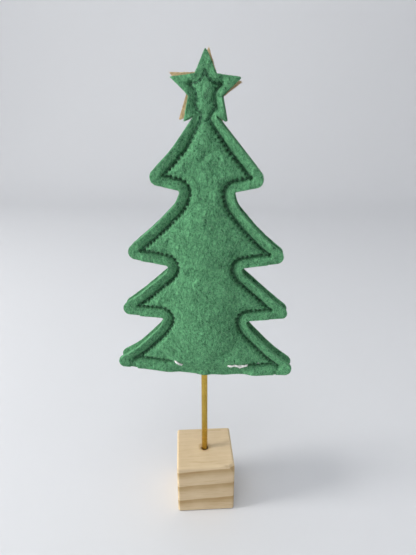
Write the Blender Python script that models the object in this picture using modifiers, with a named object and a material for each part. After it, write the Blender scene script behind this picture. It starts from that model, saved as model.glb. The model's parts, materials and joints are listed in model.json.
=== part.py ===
"""A stuffed felt christmas tree on a brass rod that stands in a wooden block.

Metres, +Z up. The origin is the centre of the block's bottom face. +X runs along the width of the
tree, and its front faces -Y. The tree is two felts cut alike, each with its half of the star, sewn
together near the rim round a filling. A gold felt star is sewn on behind. The rod stands in a
blind hole of the block and reaches up between the felts into the filling.
"""

import math

import bmesh
import bpy
import numpy as np
from mathutils import Vector
from mathutils.geometry import delaunay_2d_cdt

MM = 0.001

# Wooden block
BLOCK_SIDE = 38.1 * MM
BLOCK_EDGE = 1.5 * MM
BLOCK_TURN = math.radians(9.0)
HOLE_DEPTH = 25.4 * MM
MOUTH_WIDTH = 1.4 * MM
MOUTH_DEPTH = 1.2 * MM

# Brass rod
ROD_RADIUS = 1.985 * MM
ROD_LENGTH = 152.4 * MM
ROD_SHOWN = 61.3 * MM
ROD_END_EDGE = 0.3 * MM
ROD_SIDES = 24

# Clearances
GAP = 0.3 * MM
HOLE_CLEARANCE = 0.45 * MM
STAR_CLEARANCE = 0.9 * MM
OVERRUN = 5.0 * MM

# Felt outline of the tree
TREE_HALF = 62.7 * MM
TREE_RISE = 155.8 * MM
TREE_SHIFT = 0.6 * MM
NECK_HALF = 5.5 * MM
LEAN = math.radians(0.4)
HEM_ROUND_SHARE = 2.4
RIGHT_SHARES = (
    (0.556, 0.778, 0.068),
    (0.250, 0.752, 0.024),
    (0.275, 0.706, 0.220),
    (0.448, 0.626, 0.600),
    (0.560, 0.583, 0.500),
    (0.797, 0.508, 0.106),
    (0.340, 0.476, 0.024),
    (0.355, 0.454, 0.126),
    (0.650, 0.351, 0.600),
    (0.858, 0.285, 0.100),
    (0.397, 0.262, 0.024),
    (0.430, 0.228, 0.300),
    (0.668, 0.130, 0.800),
    (0.978, 0.040, 0.098),
)
LEFT_SHARES = (
    (0.283, 0.890, 0.600),
    (0.549, 0.780, 0.072),
    (0.212, 0.752, 0.024),
    (0.258, 0.706, 0.220),
    (0.428, 0.634, 0.500),
    (0.540, 0.592, 0.600),
    (0.800, 0.504, 0.106),
    (0.333, 0.474, 0.024),
    (0.345, 0.452, 0.126),
    (0.596, 0.360, 0.600),
    (0.903, 0.268, 0.100),
    (0.383, 0.258, 0.024),
    (0.430, 0.216, 0.300),
    (0.670, 0.115, 0.800),
    (0.983, 0.034, 0.088),
)

# Star
STAR_OUTER = 18.7 * MM
STAR_INNER = 8.9 * MM
STAR_TIP_ROUND = 0.55 * MM
STAR_NOTCH_ROUND = 0.4 * MM
NECK_NOTCH_ROUND = 0.15 * MM
STAR_POINTS = 5
GOLD_OUTER = 20.0 * MM
GOLD_INNER = 9.5 * MM
GOLD_SHIFT = -1.5 * MM
GOLD_TURN = math.radians(-6.5)

# Felt and filling
FELT = 2.0 * MM
SEAM_INSET = 5.8 * MM
STAR_SEAM_INSET = 4.2 * MM
RING_INSET = 2.6 * MM
CROWN = 6.8 * MM
CROWN_POWER = 0.42
FLARE_TOP = 2.5 * MM
FLARE_HEM = 3.0 * MM
ROD_OPENING = 14.0 * MM
ROD_SLACK = 0.6 * MM

# Threads
THREAD_RADIUS = 0.25 * MM
THREAD_LIFT = 0.6 * MM
SEAM_END_LEFT = 18.5 * MM
SEAM_END_RIGHT = 27.5 * MM
STITCH_ENDS_LEFT_SHARES = (0.78, 0.98)
STITCH_ENDS_RIGHT_SHARES = (0.56, 0.97)
STITCH_POINTS = 5

# Mesh spacing and shading
SMOOTH_ANGLE = math.radians(40.0)
RIM_STEP = 3.8 * MM
SEAM_STEP = 3.7 * MM
RING_STEP = 4.2 * MM
FILL_STEP = 8.2 * MM
FINE_STEP = 0.5 * MM
GRID_STEP = 1.5 * MM
ARC_TURN = math.radians(26.0)
CORNER_REACH_SHARE = 0.46
NEAR_SHARE = 0.6
INSET_SLACK_SHARE = 0.06
MEMBRANE_ROUNDS = 2600
MERGE = 0.01 * MM
THREAD_BEVEL_STEPS = 1

# Places that follow
ROD_FOOT = BLOCK_SIDE - HOLE_DEPTH + GAP
ROD_TOP = ROD_FOOT + ROD_LENGTH
HEM_Z = BLOCK_SIDE + ROD_SHOWN - ROD_TOP
NECK_Z = HEM_Z + TREE_RISE
SEAM_LIFT = (FELT + GAP) / 2
STAR_STEP_ANGLE = math.pi / STAR_POINTS
LEG_X = STAR_OUTER * math.sin(STAR_STEP_ANGLE)
LEG_DROP = STAR_OUTER * math.cos(STAR_STEP_ANGLE)
STAR_Z = NECK_Z + STAR_INNER + (LEG_DROP - STAR_INNER) * NECK_HALF / LEG_X

# Colours, as linear red, green, blue
WOOD_COLOUR = (0.66, 0.49, 0.30, 1.0)
BRASS_COLOUR = (0.62, 0.42, 0.12, 1.0)
GREEN_COLOUR = (0.070, 0.235, 0.115, 1.0)
GOLD_COLOUR = (0.52, 0.34, 0.16, 1.0)
FILLING_COLOUR = (0.82, 0.82, 0.80, 1.0)
THREAD_COLOUR = (0.022, 0.120, 0.058, 1.0)
WHITE_COLOUR = (0.80, 0.80, 0.78, 1.0)


def finish(name, colour, roughness, metallic=0.0):
    """A Principled BSDF material of one colour."""
    material = bpy.data.materials.new(name)
    material.use_nodes = True
    shader = material.node_tree.nodes["Principled BSDF"]
    shader.inputs["Base Color"].default_value = colour
    shader.inputs["Roughness"].default_value = roughness
    shader.inputs["Metallic"].default_value = metallic
    material.diffuse_color = colour
    return material


def collection(name):
    """A new collection of the scene."""
    made = bpy.data.collections.new(name)
    bpy.context.scene.collection.children.link(made)
    return made


def empty(name, place, parts, parent=None, turn=0.0):
    """An empty that carries parts, leaning about Y by turn."""
    made = bpy.data.objects.new(name, None)
    made.location = place
    made.rotation_euler = (0.0, turn, 0.0)
    made.parent = parent
    parts.objects.link(made)
    return made


def add(name, mesh, material, parts, parent=None):
    """An object of the mesh, in its material, on its parent."""
    made = bpy.data.objects.new(name, mesh)
    mesh.materials.append(material)
    mesh.shade_smooth()
    mesh.set_sharp_from_angle(angle=SMOOTH_ANGLE)
    made.parent = parent
    parts.objects.link(made)
    return made


def cutter(made):
    """Marks an object as one that only cuts."""
    made.hide_render = True
    made.display_type = "WIRE"
    return made


def cut(target, tool):
    """Cuts the tool's shape out of the target."""
    boolean = target.modifiers.new("cut " + tool.name, "BOOLEAN")
    boolean.operation = "DIFFERENCE"
    boolean.solver = "EXACT"
    boolean.object = tool


def turned(name, profile, steps):
    """A solid turned about Z from (radius, height) points that run down its outer side."""
    mesh = bpy.data.meshes.new(name)
    points = [(radius, 0.0, height) for radius, height in profile]
    edges = [(i, i + 1) for i in range(len(points) - 1)]
    mesh.from_pydata(points, edges, [])
    made = bpy.data.objects.new(name, mesh)
    screw = made.modifiers.new("turn", "SCREW")
    screw.axis = "Z"
    screw.steps = steps
    screw.render_steps = steps
    screw.use_merge_vertices = True
    screw.merge_threshold = MERGE
    return made


def round_corner(before, corner, after, radius):
    """The arc that rounds one corner of an outline, as a list of points."""
    start = (before - corner).normalized()
    end = (after - corner).normalized()
    half = start.angle(end) / 2
    reach = min(
        radius / math.tan(half),
        CORNER_REACH_SHARE * (before - corner).length,
        CORNER_REACH_SHARE * (after - corner).length,
    )
    radius = reach * math.tan(half)
    turn = math.pi - 2 * half
    steps = max(1, math.ceil(turn / ARC_TURN))
    centre = corner + (start + end).normalized() * (radius / math.sin(half))
    first = corner + start * reach - centre
    last = corner + end * reach - centre
    points = []
    for i in range(steps + 1):
        share = i / steps
        ray = first * math.sin((1 - share) * turn) + last * math.sin(share * turn)
        points.append(centre + ray / math.sin(turn))
    return points


def rounded(corners):
    """A closed outline through (x, z, radius) corners, each rounded by its radius."""
    places = [Vector((x, z)) for x, z, _ in corners]
    count = len(corners)
    points = []
    for i, (_, _, radius) in enumerate(corners):
        points += round_corner(places[i - 1], places[i], places[(i + 1) % count], radius)
    return np.array([tuple(point) for point in points])


def mirrored(side):
    """A closed list of corners from its right side, which starts and ends on the middle line."""
    return side + [(-x, z, radius) for x, z, radius in reversed(side[1:-1])]


def star_side(centre, last, outer, inner):
    """The right side's corners of a star, from its top point to the corner numbered last."""
    corners = []
    for i in range(last + 1):
        reach = inner if i % 2 else outer
        angle = i * STAR_STEP_ANGLE
        bend = STAR_NOTCH_ROUND if i % 2 else STAR_TIP_ROUND
        corners.append((reach * math.sin(angle), centre + reach * math.cos(angle), bend))
    return corners


def tree_corners():
    """Corners of the felt: the star, and on each side four hand-cut tiers from the neck to the hem."""
    sides = []
    for shares in (RIGHT_SHARES, LEFT_SHARES):
        side = star_side(STAR_Z, STAR_POINTS - 1, STAR_OUTER, STAR_INNER)
        side.append((NECK_HALF, NECK_Z, NECK_NOTCH_ROUND))
        for width, height, bend in shares:
            side.append((width * TREE_HALF, HEM_Z + height * TREE_RISE, bend * TREE_HALF))
        sides.append(side)
    right, left = sides
    right.append((0.0, HEM_Z, HEM_ROUND_SHARE * TREE_HALF))
    return right + [(-x, z, radius) for x, z, radius in reversed(left[1:])]


def gold_corners():
    """Corners of the gold star, which is larger than the green one, turned a little and set aside."""
    turned_corners = []
    for x, z, bend in mirrored(star_side(0.0, STAR_POINTS, GOLD_OUTER, GOLD_INNER)):
        across = x * math.cos(GOLD_TURN) - z * math.sin(GOLD_TURN)
        up = x * math.sin(GOLD_TURN) + z * math.cos(GOLD_TURN)
        turned_corners.append((across + GOLD_SHIFT, up + STAR_Z, bend))
    return turned_corners


def along(loop, step):
    """A closed loop again, with points an even step apart."""
    closed = np.vstack([loop, loop[:1]])
    runs = np.linalg.norm(np.diff(closed, axis=0), axis=1)
    travel = np.concatenate([[0.0], np.cumsum(runs)])
    count = max(3, round(travel[-1] / step))
    stops = np.arange(count) * travel[-1] / count
    return np.column_stack([np.interp(stops, travel, closed[:, k]) for k in (0, 1)])


def divided(loop, step):
    """A closed loop with its own corners kept and its long runs divided."""
    points = []
    for start, end in zip(loop, np.roll(loop, -1, axis=0)):
        pieces = max(1, round(float(np.linalg.norm(end - start)) / step))
        points += [start + (end - start) * i / pieces for i in range(pieces)]
    return np.array(points)


def distance(points, loop):
    """The distance of each point from the nearest point of a loop."""
    return np.array([np.linalg.norm(loop - point, axis=1).min() for point in points])


def within(points, loop):
    """Whether each point lies inside a closed loop."""
    inside = np.zeros(len(points), dtype=bool)
    x, z = points[:, 0], points[:, 1]
    for (xa, za), (xb, zb) in zip(loop, np.roll(loop, -1, axis=0)):
        if za == zb:
            continue
        crosses = (za > z) != (zb > z)
        inside ^= crosses & (x < xa + (z - za) * (xb - xa) / (zb - za))
    return inside


def inset(loop, depth):
    """A fine loop moved inward by a depth at each point, less the points that meet another side."""
    ahead = np.roll(loop, -1, axis=0) - np.roll(loop, 1, axis=0)
    ahead /= np.linalg.norm(ahead, axis=1)[:, None]
    inward = np.column_stack([ahead[:, 1], -ahead[:, 0]])
    moved = loop + inward * depth[:, None]
    clear = distance(moved, loop) > depth * (1 - INSET_SLACK_SHARE)
    return moved[clear]


def seam_depth(z):
    """How far the seam runs inside the rim: less in the star than in the tree."""
    share = np.clip((z - NECK_Z) / (STAR_INNER + STAR_SEAM_INSET) + 1, 0, 1)
    return SEAM_INSET + (STAR_SEAM_INSET - SEAM_INSET) * share


class Felt:
    """The loops of the sewn felt, and how far its middle stands from the plane of the seam."""

    def __init__(self):
        corners = rounded(tree_corners())
        self.rim = divided(corners, RIM_STEP)
        fine = along(corners, FINE_STEP)
        seam = inset(fine, seam_depth(fine[:, 1]))
        self.fine_seam = along(seam, FINE_STEP)
        self.seam = along(seam, SEAM_STEP)
        ring = inset(fine, seam_depth(fine[:, 1]) + RING_INSET)
        body = ring[ring[:, 1] < NECK_Z - SEAM_INSET]
        self.ring = along(body, RING_STEP)
        star_ring = ring[ring[:, 1] > NECK_Z]
        self.star_points = star_ring[:: round(RING_STEP / FINE_STEP)]
        self.fill = self.fill_points()
        self.grid_low, self.grid = self.membrane()

    def fill_points(self):
        """A hexagonal pattern of points inside the ring, clear of it."""
        low, high = self.ring.min(axis=0), self.ring.max(axis=0)
        row_step = FILL_STEP * math.sin(math.pi / 3)
        points = []
        for row in range(math.ceil((high[1] - low[1]) / row_step)):
            shift = FILL_STEP / 2 * (row % 2)
            for column in range(math.ceil((high[0] - low[0]) / FILL_STEP)):
                points.append((low[0] + shift + column * FILL_STEP, low[1] + row * row_step))
        points = np.array(points)
        points = points[within(points, self.ring)]
        return points[distance(points, along(self.ring, FINE_STEP)) > NEAR_SHARE * RING_STEP]

    def membrane(self):
        """Shares of the crown over a grid: a skin held along the seam, under even pressure."""
        low = self.seam.min(axis=0) - GRID_STEP
        size = self.seam.max(axis=0) + GRID_STEP - low
        columns, rows = (math.ceil(length / GRID_STEP) + 1 for length in size)
        x, z = np.meshgrid(np.arange(columns), np.arange(rows), indexing="ij")
        places = low + np.column_stack([x.ravel(), z.ravel()]) * GRID_STEP
        inside = within(places, self.fine_seam).reshape(columns, rows)
        height = np.zeros((columns, rows))
        for _ in range(MEMBRANE_ROUNDS):
            around = sum(np.roll(height, way, axis=k) for way in (1, -1) for k in (0, 1))
            height = np.where(inside, around / 4 + 1, 0.0)
        return low, height / height.max()

    def crown(self, points):
        """The height of the stuffed crown over the seam at each point."""
        places = (points - self.grid_low) / GRID_STEP
        most = np.array(self.grid.shape) - 2
        cell = np.clip(np.floor(places).astype(int), 0, most)
        part = np.clip(places - cell, 0, 1)
        share = np.zeros(len(points))
        for i in (0, 1):
            for k in (0, 1):
                weight = np.abs(1 - i - part[:, 0]) * np.abs(1 - k - part[:, 1])
                share += weight * self.grid[cell[:, 0] + i, cell[:, 1] + k]
        return CROWN * share**CROWN_POWER

    def lift(self, points):
        """How far the middle of the felt stands from the plane between the felts."""
        gap = distance(points, self.fine_seam)
        inside = within(points, self.fine_seam) & (gap > FINE_STEP)
        height_share = np.clip((points[:, 1] - HEM_Z) / TREE_RISE, 0, 1)
        flare = FLARE_HEM + (FLARE_TOP - FLARE_HEM) * height_share
        margin = flare * np.clip(gap / seam_depth(points[:, 1]), 0, 1)
        lift = SEAM_LIFT + np.where(inside, self.crown(points), margin)
        return np.maximum(lift, self.rod_lift(points))

    def rod_lift(self, points):
        """How far the felt has to stand out to pass round the rod."""
        from_rod = points[:, 0] + TREE_SHIFT + points[:, 1] * math.tan(LEAN)
        beside = np.clip(np.abs(from_rod) / ROD_OPENING, 0, 1)
        return (ROD_RADIUS + ROD_SLACK + SEAM_LIFT) * np.cos(beside * math.pi / 2) ** 2


def cloth_mesh(name, loops, extra, place):
    """A surface over the first loop, through the other loops and points, set by place(x and z)."""
    points = []
    edges = []
    for loop in loops:
        start = len(points)
        points += [Vector(point) for point in loop]
        edges += [(start + i, start + (i + 1) % len(loop)) for i in range(len(loop))]
    points += [Vector(point) for point in extra]
    outline = [list(range(len(loops[0])))]
    made = delaunay_2d_cdt(points, edges, outline, 1, FINE_STEP * INSET_SLACK_SHARE)
    flat = np.array([tuple(point) for point in made[0]])
    mesh = bpy.data.meshes.new(name)
    mesh.from_pydata(place(flat).tolist(), [], [list(face) for face in made[2]])
    tidy = bmesh.new()
    tidy.from_mesh(mesh)
    loose = [vertex for vertex in tidy.verts if not vertex.link_faces]
    bmesh.ops.delete(tidy, geom=loose, context="VERTS")
    tidy.to_mesh(mesh)
    tidy.free()
    return mesh


def upright(flat, away):
    """Points on the tree's plane, each moved away from it along Y."""
    return np.column_stack([flat[:, 0], away, flat[:, 1]])


def thicken(made):
    """Gives a felt surface its thickness, half to each side."""
    wall = made.modifiers.new("felt", "SOLIDIFY")
    wall.thickness = FELT
    wall.offset = 0.0
    return made


def make_block(parts, cutters, material):
    """The block, with its edges broken and a blind hole whose mouth is worn wide."""
    bpy.ops.mesh.primitive_cube_add(size=BLOCK_SIDE, location=(0.0, 0.0, BLOCK_SIDE / 2))
    block = bpy.context.object
    block.name = "base_block"
    block.rotation_euler = (0.0, 0.0, BLOCK_TURN)
    block.data.materials.append(material)
    for old in block.users_collection:
        old.objects.unlink(block)
    parts.objects.link(block)
    edge = block.modifiers.new("broken edges", "BEVEL")
    edge.width = BLOCK_EDGE
    edge.segments = 2
    radius = ROD_RADIUS + HOLE_CLEARANCE
    floor = BLOCK_SIDE - HOLE_DEPTH
    flare = MOUTH_WIDTH / MOUTH_DEPTH
    profile = [
        (0.0, BLOCK_SIDE + OVERRUN),
        (radius + MOUTH_WIDTH + OVERRUN * flare, BLOCK_SIDE + OVERRUN),
        (radius, BLOCK_SIDE - MOUTH_DEPTH),
        (radius, floor),
        (0.0, floor),
    ]
    hole = cutter(turned("rod hole", profile, ROD_SIDES))
    cutters.objects.link(hole)
    cut(block, hole)
    return block


def make_rod(parts, material, parent):
    """The rod, with its sawn ends broken."""
    mesh = bpy.data.meshes.new("brass_rod")
    shape = bmesh.new()
    bmesh.ops.create_cone(
        shape,
        cap_ends=True,
        segments=ROD_SIDES,
        radius1=ROD_RADIUS,
        radius2=ROD_RADIUS,
        depth=ROD_LENGTH,
    )
    shape.to_mesh(mesh)
    shape.free()
    rod = add("brass_rod", mesh, material, parts, parent)
    rod.location = (0.0, 0.0, ROD_FOOT + ROD_LENGTH / 2)
    edge = rod.modifiers.new("broken ends", "BEVEL")
    edge.width = ROD_END_EDGE
    edge.segments = 1
    edge.limit_method = "ANGLE"
    return rod


def make_felts(felt, parts, material, parent):
    """The front and the back felt, sewn down along the seam and stuffed proud inside it."""
    for name, side in (("front_felt", -1.0), ("back_felt", 1.0)):
        mesh = cloth_mesh(
            name,
            [felt.rim, felt.seam, felt.ring],
            np.vstack([felt.fill, felt.star_points]),
            lambda flat, side=side: upright(flat, side * felt.lift(flat)),
        )
        thicken(add(name, mesh, material, parts, parent))


def make_filling(felt, parts, cutters, material, parent):
    """The filling, which the felts wrap, with a blind pocket for the rod."""

    def front(flat):
        return upright(flat, -np.maximum(felt.lift(flat) - FELT - 2 * GAP, GAP))

    mesh = cloth_mesh("stuffing", [felt.ring], felt.fill, front)
    whole = bmesh.new()
    whole.from_mesh(mesh)
    drawn = bmesh.ops.extrude_face_region(whole, geom=whole.faces[:])
    for part in drawn["geom"]:
        if isinstance(part, bmesh.types.BMVert):
            part.co.y = -part.co.y
    bmesh.ops.recalc_face_normals(whole, faces=whole.faces)
    whole.to_mesh(mesh)
    whole.free()
    filling = add("stuffing", mesh, material, parts, parent)
    radius = ROD_RADIUS + GAP
    profile = [
        (0.0, ROD_TOP + GAP),
        (radius, ROD_TOP + GAP),
        (radius, BLOCK_SIDE),
        (0.0, BLOCK_SIDE),
    ]
    pocket = cutter(turned("rod pocket", profile, ROD_SIDES))
    cutters.objects.link(pocket)
    cut(filling, pocket)


def make_gold_star(felt, parts, material, parent):
    """The gold star behind the green one, which follows its seam and its small crown."""
    rim = divided(rounded(gold_corners()), RIM_STEP)
    fine = along(rim, FINE_STEP)
    inner = np.vstack([felt.seam, felt.star_points])
    inner = inner[within(inner, rim)]
    inner = inner[distance(inner, fine) > NEAR_SHARE * STAR_SEAM_INSET]
    nest = FELT + STAR_CLEARANCE
    mesh = cloth_mesh(
        "gold_star", [rim], inner, lambda flat: upright(flat, felt.lift(flat) + nest)
    )
    thicken(add("gold_star", mesh, material, parts, parent))


def tube(name, points, material, parts, parent):
    """A thread through the points, as a mesh with its caps welded."""
    curve = bpy.data.curves.new(name, "CURVE")
    curve.dimensions = "3D"
    curve.bevel_depth = THREAD_RADIUS
    curve.bevel_resolution = THREAD_BEVEL_STEPS
    curve.use_fill_caps = True
    spline = curve.splines.new("POLY")
    spline.points.add(len(points) - 1)
    for target, point in zip(spline.points, points):
        target.co = (*point, 1.0)
    guide = bpy.data.objects.new(name + " line", curve)
    bpy.context.scene.collection.objects.link(guide)
    bpy.context.view_layer.update()
    mesh = bpy.data.meshes.new_from_object(guide.evaluated_get(bpy.context.evaluated_depsgraph_get()))
    bpy.data.objects.remove(guide)
    welded = bmesh.new()
    welded.from_mesh(mesh)
    bmesh.ops.remove_doubles(welded, verts=welded.verts, dist=MERGE)
    bmesh.ops.recalc_face_normals(welded, faces=welded.faces)
    welded.to_mesh(mesh)
    welded.free()
    mesh.name = name
    mesh.materials.clear()
    return add(name, mesh, material, parts, parent)


def thread_face(felt, flat):
    """How far from the tree's plane the middle of a thread lies on the felt."""
    return felt.lift(flat) + FELT / 2 + GAP + THREAD_LIFT + THREAD_RADIUS


def make_seam_threads(felt, parts, material, parent):
    """The two green threads of the machine seam, which stop on each side of the hem's opening."""
    hem = felt.seam[:, 1] < HEM_Z + 2 * SEAM_INSET
    right, left = felt.seam[:, 0] > SEAM_END_RIGHT, felt.seam[:, 0] < -SEAM_END_LEFT
    open_run = hem & ~right & ~left
    first = int(np.argmax(open_run & ~np.roll(open_run, -1))) + 1
    run = np.roll(felt.seam, -first, axis=0)[: int((~open_run).sum())]
    front = thread_face(felt, run)
    over_star = np.where(run[:, 1] > STAR_Z - STAR_INNER - SEAM_INSET, FELT + STAR_CLEARANCE, 0.0)
    tube("needle_thread", upright(run, -front), material, parts, parent)
    tube("bobbin_thread", upright(run, front + over_star), material, parts, parent)


def make_closing_stitches(felt, parts, material, parent):
    """The white hand stitches that close the hem on each side of the rod."""
    hem = felt.seam[felt.seam[:, 1] < HEM_Z + 2 * SEAM_INSET]
    order = np.argsort(hem[:, 0])
    sides = (
        ("closing_stitch_left", -SEAM_END_LEFT, STITCH_ENDS_LEFT_SHARES),
        ("closing_stitch_right", SEAM_END_RIGHT, STITCH_ENDS_RIGHT_SHARES),
    )
    for name, end, shares in sides:
        across = np.linspace(end * shares[0], end * shares[1], STITCH_POINTS)
        up = np.interp(across, hem[order, 0], hem[order, 1])
        flat = np.column_stack([across, up])
        points = upright(flat, -thread_face(felt, flat))
        tube(name, points, material, parts, parent)


def main():
    for old in list(bpy.data.objects):
        bpy.data.objects.remove(old)
    parts = collection("felt_christmas_tree")
    cutters = collection("cutters")
    wood = finish("light wood", WOOD_COLOUR, 0.60)
    brass = finish("brass", BRASS_COLOUR, 0.32, 1.0)
    green = finish("green felt", GREEN_COLOUR, 0.95)
    gold = finish("gold felt", GOLD_COLOUR, 0.92)
    filling = finish("fibre filling", FILLING_COLOUR, 0.95)
    thread = finish("green thread", THREAD_COLOUR, 0.60)
    white = finish("white thread", WHITE_COLOUR, 0.60)

    felt = Felt()
    make_block(parts, cutters, wood)
    post = empty("post axis", (0.0, 0.0, 0.0), parts)
    tree = empty("tree axis", (TREE_SHIFT, 0.0, ROD_TOP), parts, post, LEAN)
    make_rod(parts, brass, post)
    make_felts(felt, parts, green, tree)
    make_filling(felt, parts, cutters, filling, tree)
    make_gold_star(felt, parts, gold, tree)
    make_seam_threads(felt, parts, thread, tree)
    make_closing_stitches(felt, parts, white, tree)


main()
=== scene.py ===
"""The looks of a stuffed felt christmas tree on a brass rod that stands in a wooden block.

Metres, +Z up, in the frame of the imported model. The tree is two felts cut alike and machine-sewn
near their rims round a filling, with a gold felt star sewn on behind the green one. The felts are
inflated by a cloth simulation that is held along the seam, and their stitches, needle holes and
flared margins follow from the same seam line.
"""

from __future__ import annotations

import json
import logging
import math
from collections.abc import Callable
from dataclasses import dataclass, field
from enum import Enum

import bmesh
import bpy
import numpy as np
from mathutils import Matrix, Vector, noise
from mathutils.bvhtree import BVHTree
from mathutils.geometry import delaunay_2d_cdt
from mathutils.kdtree import KDTree

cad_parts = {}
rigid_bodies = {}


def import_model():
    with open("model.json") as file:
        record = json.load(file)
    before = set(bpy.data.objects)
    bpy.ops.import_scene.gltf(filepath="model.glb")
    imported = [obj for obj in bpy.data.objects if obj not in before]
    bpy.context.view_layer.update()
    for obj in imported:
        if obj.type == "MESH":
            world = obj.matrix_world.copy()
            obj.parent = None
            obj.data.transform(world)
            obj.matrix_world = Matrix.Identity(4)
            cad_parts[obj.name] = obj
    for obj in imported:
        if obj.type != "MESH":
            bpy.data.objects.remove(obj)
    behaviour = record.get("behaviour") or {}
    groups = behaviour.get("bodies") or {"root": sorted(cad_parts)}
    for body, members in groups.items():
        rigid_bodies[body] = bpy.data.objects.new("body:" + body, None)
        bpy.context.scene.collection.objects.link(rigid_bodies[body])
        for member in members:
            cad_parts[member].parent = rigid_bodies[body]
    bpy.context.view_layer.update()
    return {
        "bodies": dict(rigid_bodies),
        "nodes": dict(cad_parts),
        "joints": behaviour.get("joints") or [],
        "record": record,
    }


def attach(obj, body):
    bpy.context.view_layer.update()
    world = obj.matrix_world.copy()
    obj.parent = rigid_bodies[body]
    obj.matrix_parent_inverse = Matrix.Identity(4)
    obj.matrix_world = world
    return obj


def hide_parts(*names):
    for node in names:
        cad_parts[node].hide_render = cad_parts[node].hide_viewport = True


LOG = logging.getLogger("felt tree")
MM = 0.001
Colour = tuple[float, float, float, float]


class Side(Enum):
    """The two faces of the tree, by the way they look along Y."""

    FRONT = -1.0
    BACK = 1.0


# Small tools


def deselect() -> None:
    """Deselects every object."""
    for other in bpy.context.selected_objects:
        other.select_set(False)


def choose(piece: bpy.types.Object) -> None:
    """Selects one object alone and makes it active."""
    deselect()
    piece.select_set(True)
    bpy.context.view_layer.objects.active = piece


def settle(piece: bpy.types.Object) -> None:
    """Puts a piece's place, turn and scale into its mesh."""
    choose(piece)
    bpy.ops.object.transform_apply(location=True, rotation=True, scale=True)


def apply_modifier(piece: bpy.types.Object, kind: str, **values: object) -> None:
    """Adds a modifier with the given values and applies it.

    Args:
        piece: The object to change.
        kind: The modifier's type.
        values: Its settings by name.
    """
    choose(piece)
    made = piece.modifiers.new(kind.lower(), kind)
    for key, value in values.items():
        setattr(made, key, value)
    bpy.ops.object.modifier_apply(modifier=made.name)


def round_edges(piece: bpy.types.Object, width: float, segments: int, degrees: float) -> None:
    """Rounds the edges of a piece that turn by more than an angle."""
    limit = math.radians(degrees)
    apply_modifier(
        piece, "BEVEL", width=width, segments=segments, limit_method="ANGLE", angle_limit=limit
    )


def shade_smooth(piece: bpy.types.Object, degrees: float) -> None:
    """Shades a piece smooth, apart from the edges that turn by more than an angle."""
    choose(piece)
    bpy.ops.object.shade_smooth_by_angle(angle=math.radians(degrees))


def make(operator: Callable, **values: object) -> bpy.types.Object:
    """Adds a primitive by its operator, alone in the selection."""
    deselect()
    operator(**values)
    return bpy.context.object


def link(name: str, data: bpy.types.ID) -> bpy.types.Object:
    """Links a new object of the data, at the origin."""
    made = bpy.data.objects.new(name, data)
    bpy.context.scene.collection.objects.link(made)
    return made


def mesh_of(name: str, shape: bmesh.types.BMesh) -> bpy.types.Mesh:
    """Makes a mesh of a built shape, and frees the shape."""
    mesh = bpy.data.meshes.new(name)
    shape.to_mesh(mesh)
    shape.free()
    return mesh


def smooth_step(value: np.ndarray) -> np.ndarray:
    """A smooth rise from 0 to 1 as the value goes from 0 to 1."""
    share = np.clip(value, 0.0, 1.0)
    return share * share * (3.0 - 2.0 * share)


def wander(points: np.ndarray, size: float, seed: float) -> np.ndarray:
    """Smooth random values from about -1 to 1.

    Args:
        points: Points in a plane or in space, one a row.
        size: The usual distance between a high and the next.
        seed: A number that sets one pattern apart from another.

    Returns:
        One value for each point.
    """
    flat = np.zeros((len(points), 3))
    flat[:, : points.shape[1]] = points / size
    flat[:, 2] += seed
    return np.array([noise.noise(Vector(row)) for row in flat])


def unit_rows(rows: np.ndarray) -> np.ndarray:
    """The rows, each made one long."""
    return rows / np.linalg.norm(rows, axis=1)[:, None]


def place_on_body(
    piece: bpy.types.Object,
    body: str,
    material: bpy.types.Material,
    nodes: tuple[str, ...] = (),
) -> None:
    """Dresses a piece, and lets it ride on a body in place of the nodes that it stands for."""
    piece.data.materials.clear()
    piece.data.materials.append(material)
    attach(piece, body)
    if nodes:
        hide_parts(*nodes)
    LOG.info("%s: %d faces", piece.name, len(piece.data.polygons))


# Node groups and finishes


class Nodes:
    """Adds nodes to a tree and joins their sockets."""

    def __init__(self, tree: bpy.types.NodeTree) -> None:
        """Keeps the tree that is built."""
        self.tree = tree

    def add(self, kind: str, inputs: dict | None = None, **settings: object) -> bpy.types.Node:
        """Adds a node.

        Args:
            kind: The node's type, without its ShaderNode prefix.
            inputs: Values or sockets for its inputs, by name or number.
            settings: Its properties by name.

        Returns:
            The new node.
        """
        made = self.tree.nodes.new("ShaderNode" + kind)
        for key, value in settings.items():
            setattr(made, key, value)
        for key, value in (inputs or {}).items():
            self.feed(made.inputs[key], value)
        return made

    def feed(self, socket: bpy.types.NodeSocket, value: object) -> None:
        """Gives a socket a value, or joins another socket to it."""
        if isinstance(value, bpy.types.NodeSocket):
            self.tree.links.new(value, socket)
        else:
            socket.default_value = value

    def math(self, way: str, first: object, second: object = 0.0) -> object:
        """One sum of two values, and its output socket."""
        return self.add("Math", {0: first, 1: second}, operation=way).outputs[0]

    def spread(
        self, value: object, low: float, high: float, start: float = 0.0, end: float = 1.0
    ) -> object:
        """Maps a value from low and high to start and end, held there."""
        names = {"Value": value, "From Min": low, "From Max": high, "To Min": start, "To Max": end}
        return self.add("MapRange", names, interpolation_type="SMOOTHSTEP").outputs[0]

    def even(self, value: object, low: float, high: float) -> object:
        """Maps a value evenly from low and high to 0 and 1, held there."""
        return self.add("MapRange", {"Value": value, "From Min": low, "From Max": high}).outputs[0]

    def mix(self, share: object, first: object, second: object) -> object:
        """A mix of two colours by a share."""
        made = self.add("Mix", data_type="RGBA")
        for key, value in ((0, share), (6, first), (7, second)):
            self.feed(made.inputs[key], value)
        return made.outputs[2]

    def noise(
        self, place: object, scale: object, detail: float = 2.0, rough: float = 0.5, output: int = 0
    ) -> object:
        """A noise texture at a place: its value, or its colour as output 1."""
        names = {"Vector": place, "Scale": scale, "Detail": detail, "Roughness": rough}
        return self.add("TexNoise", names).outputs[output]


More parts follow.
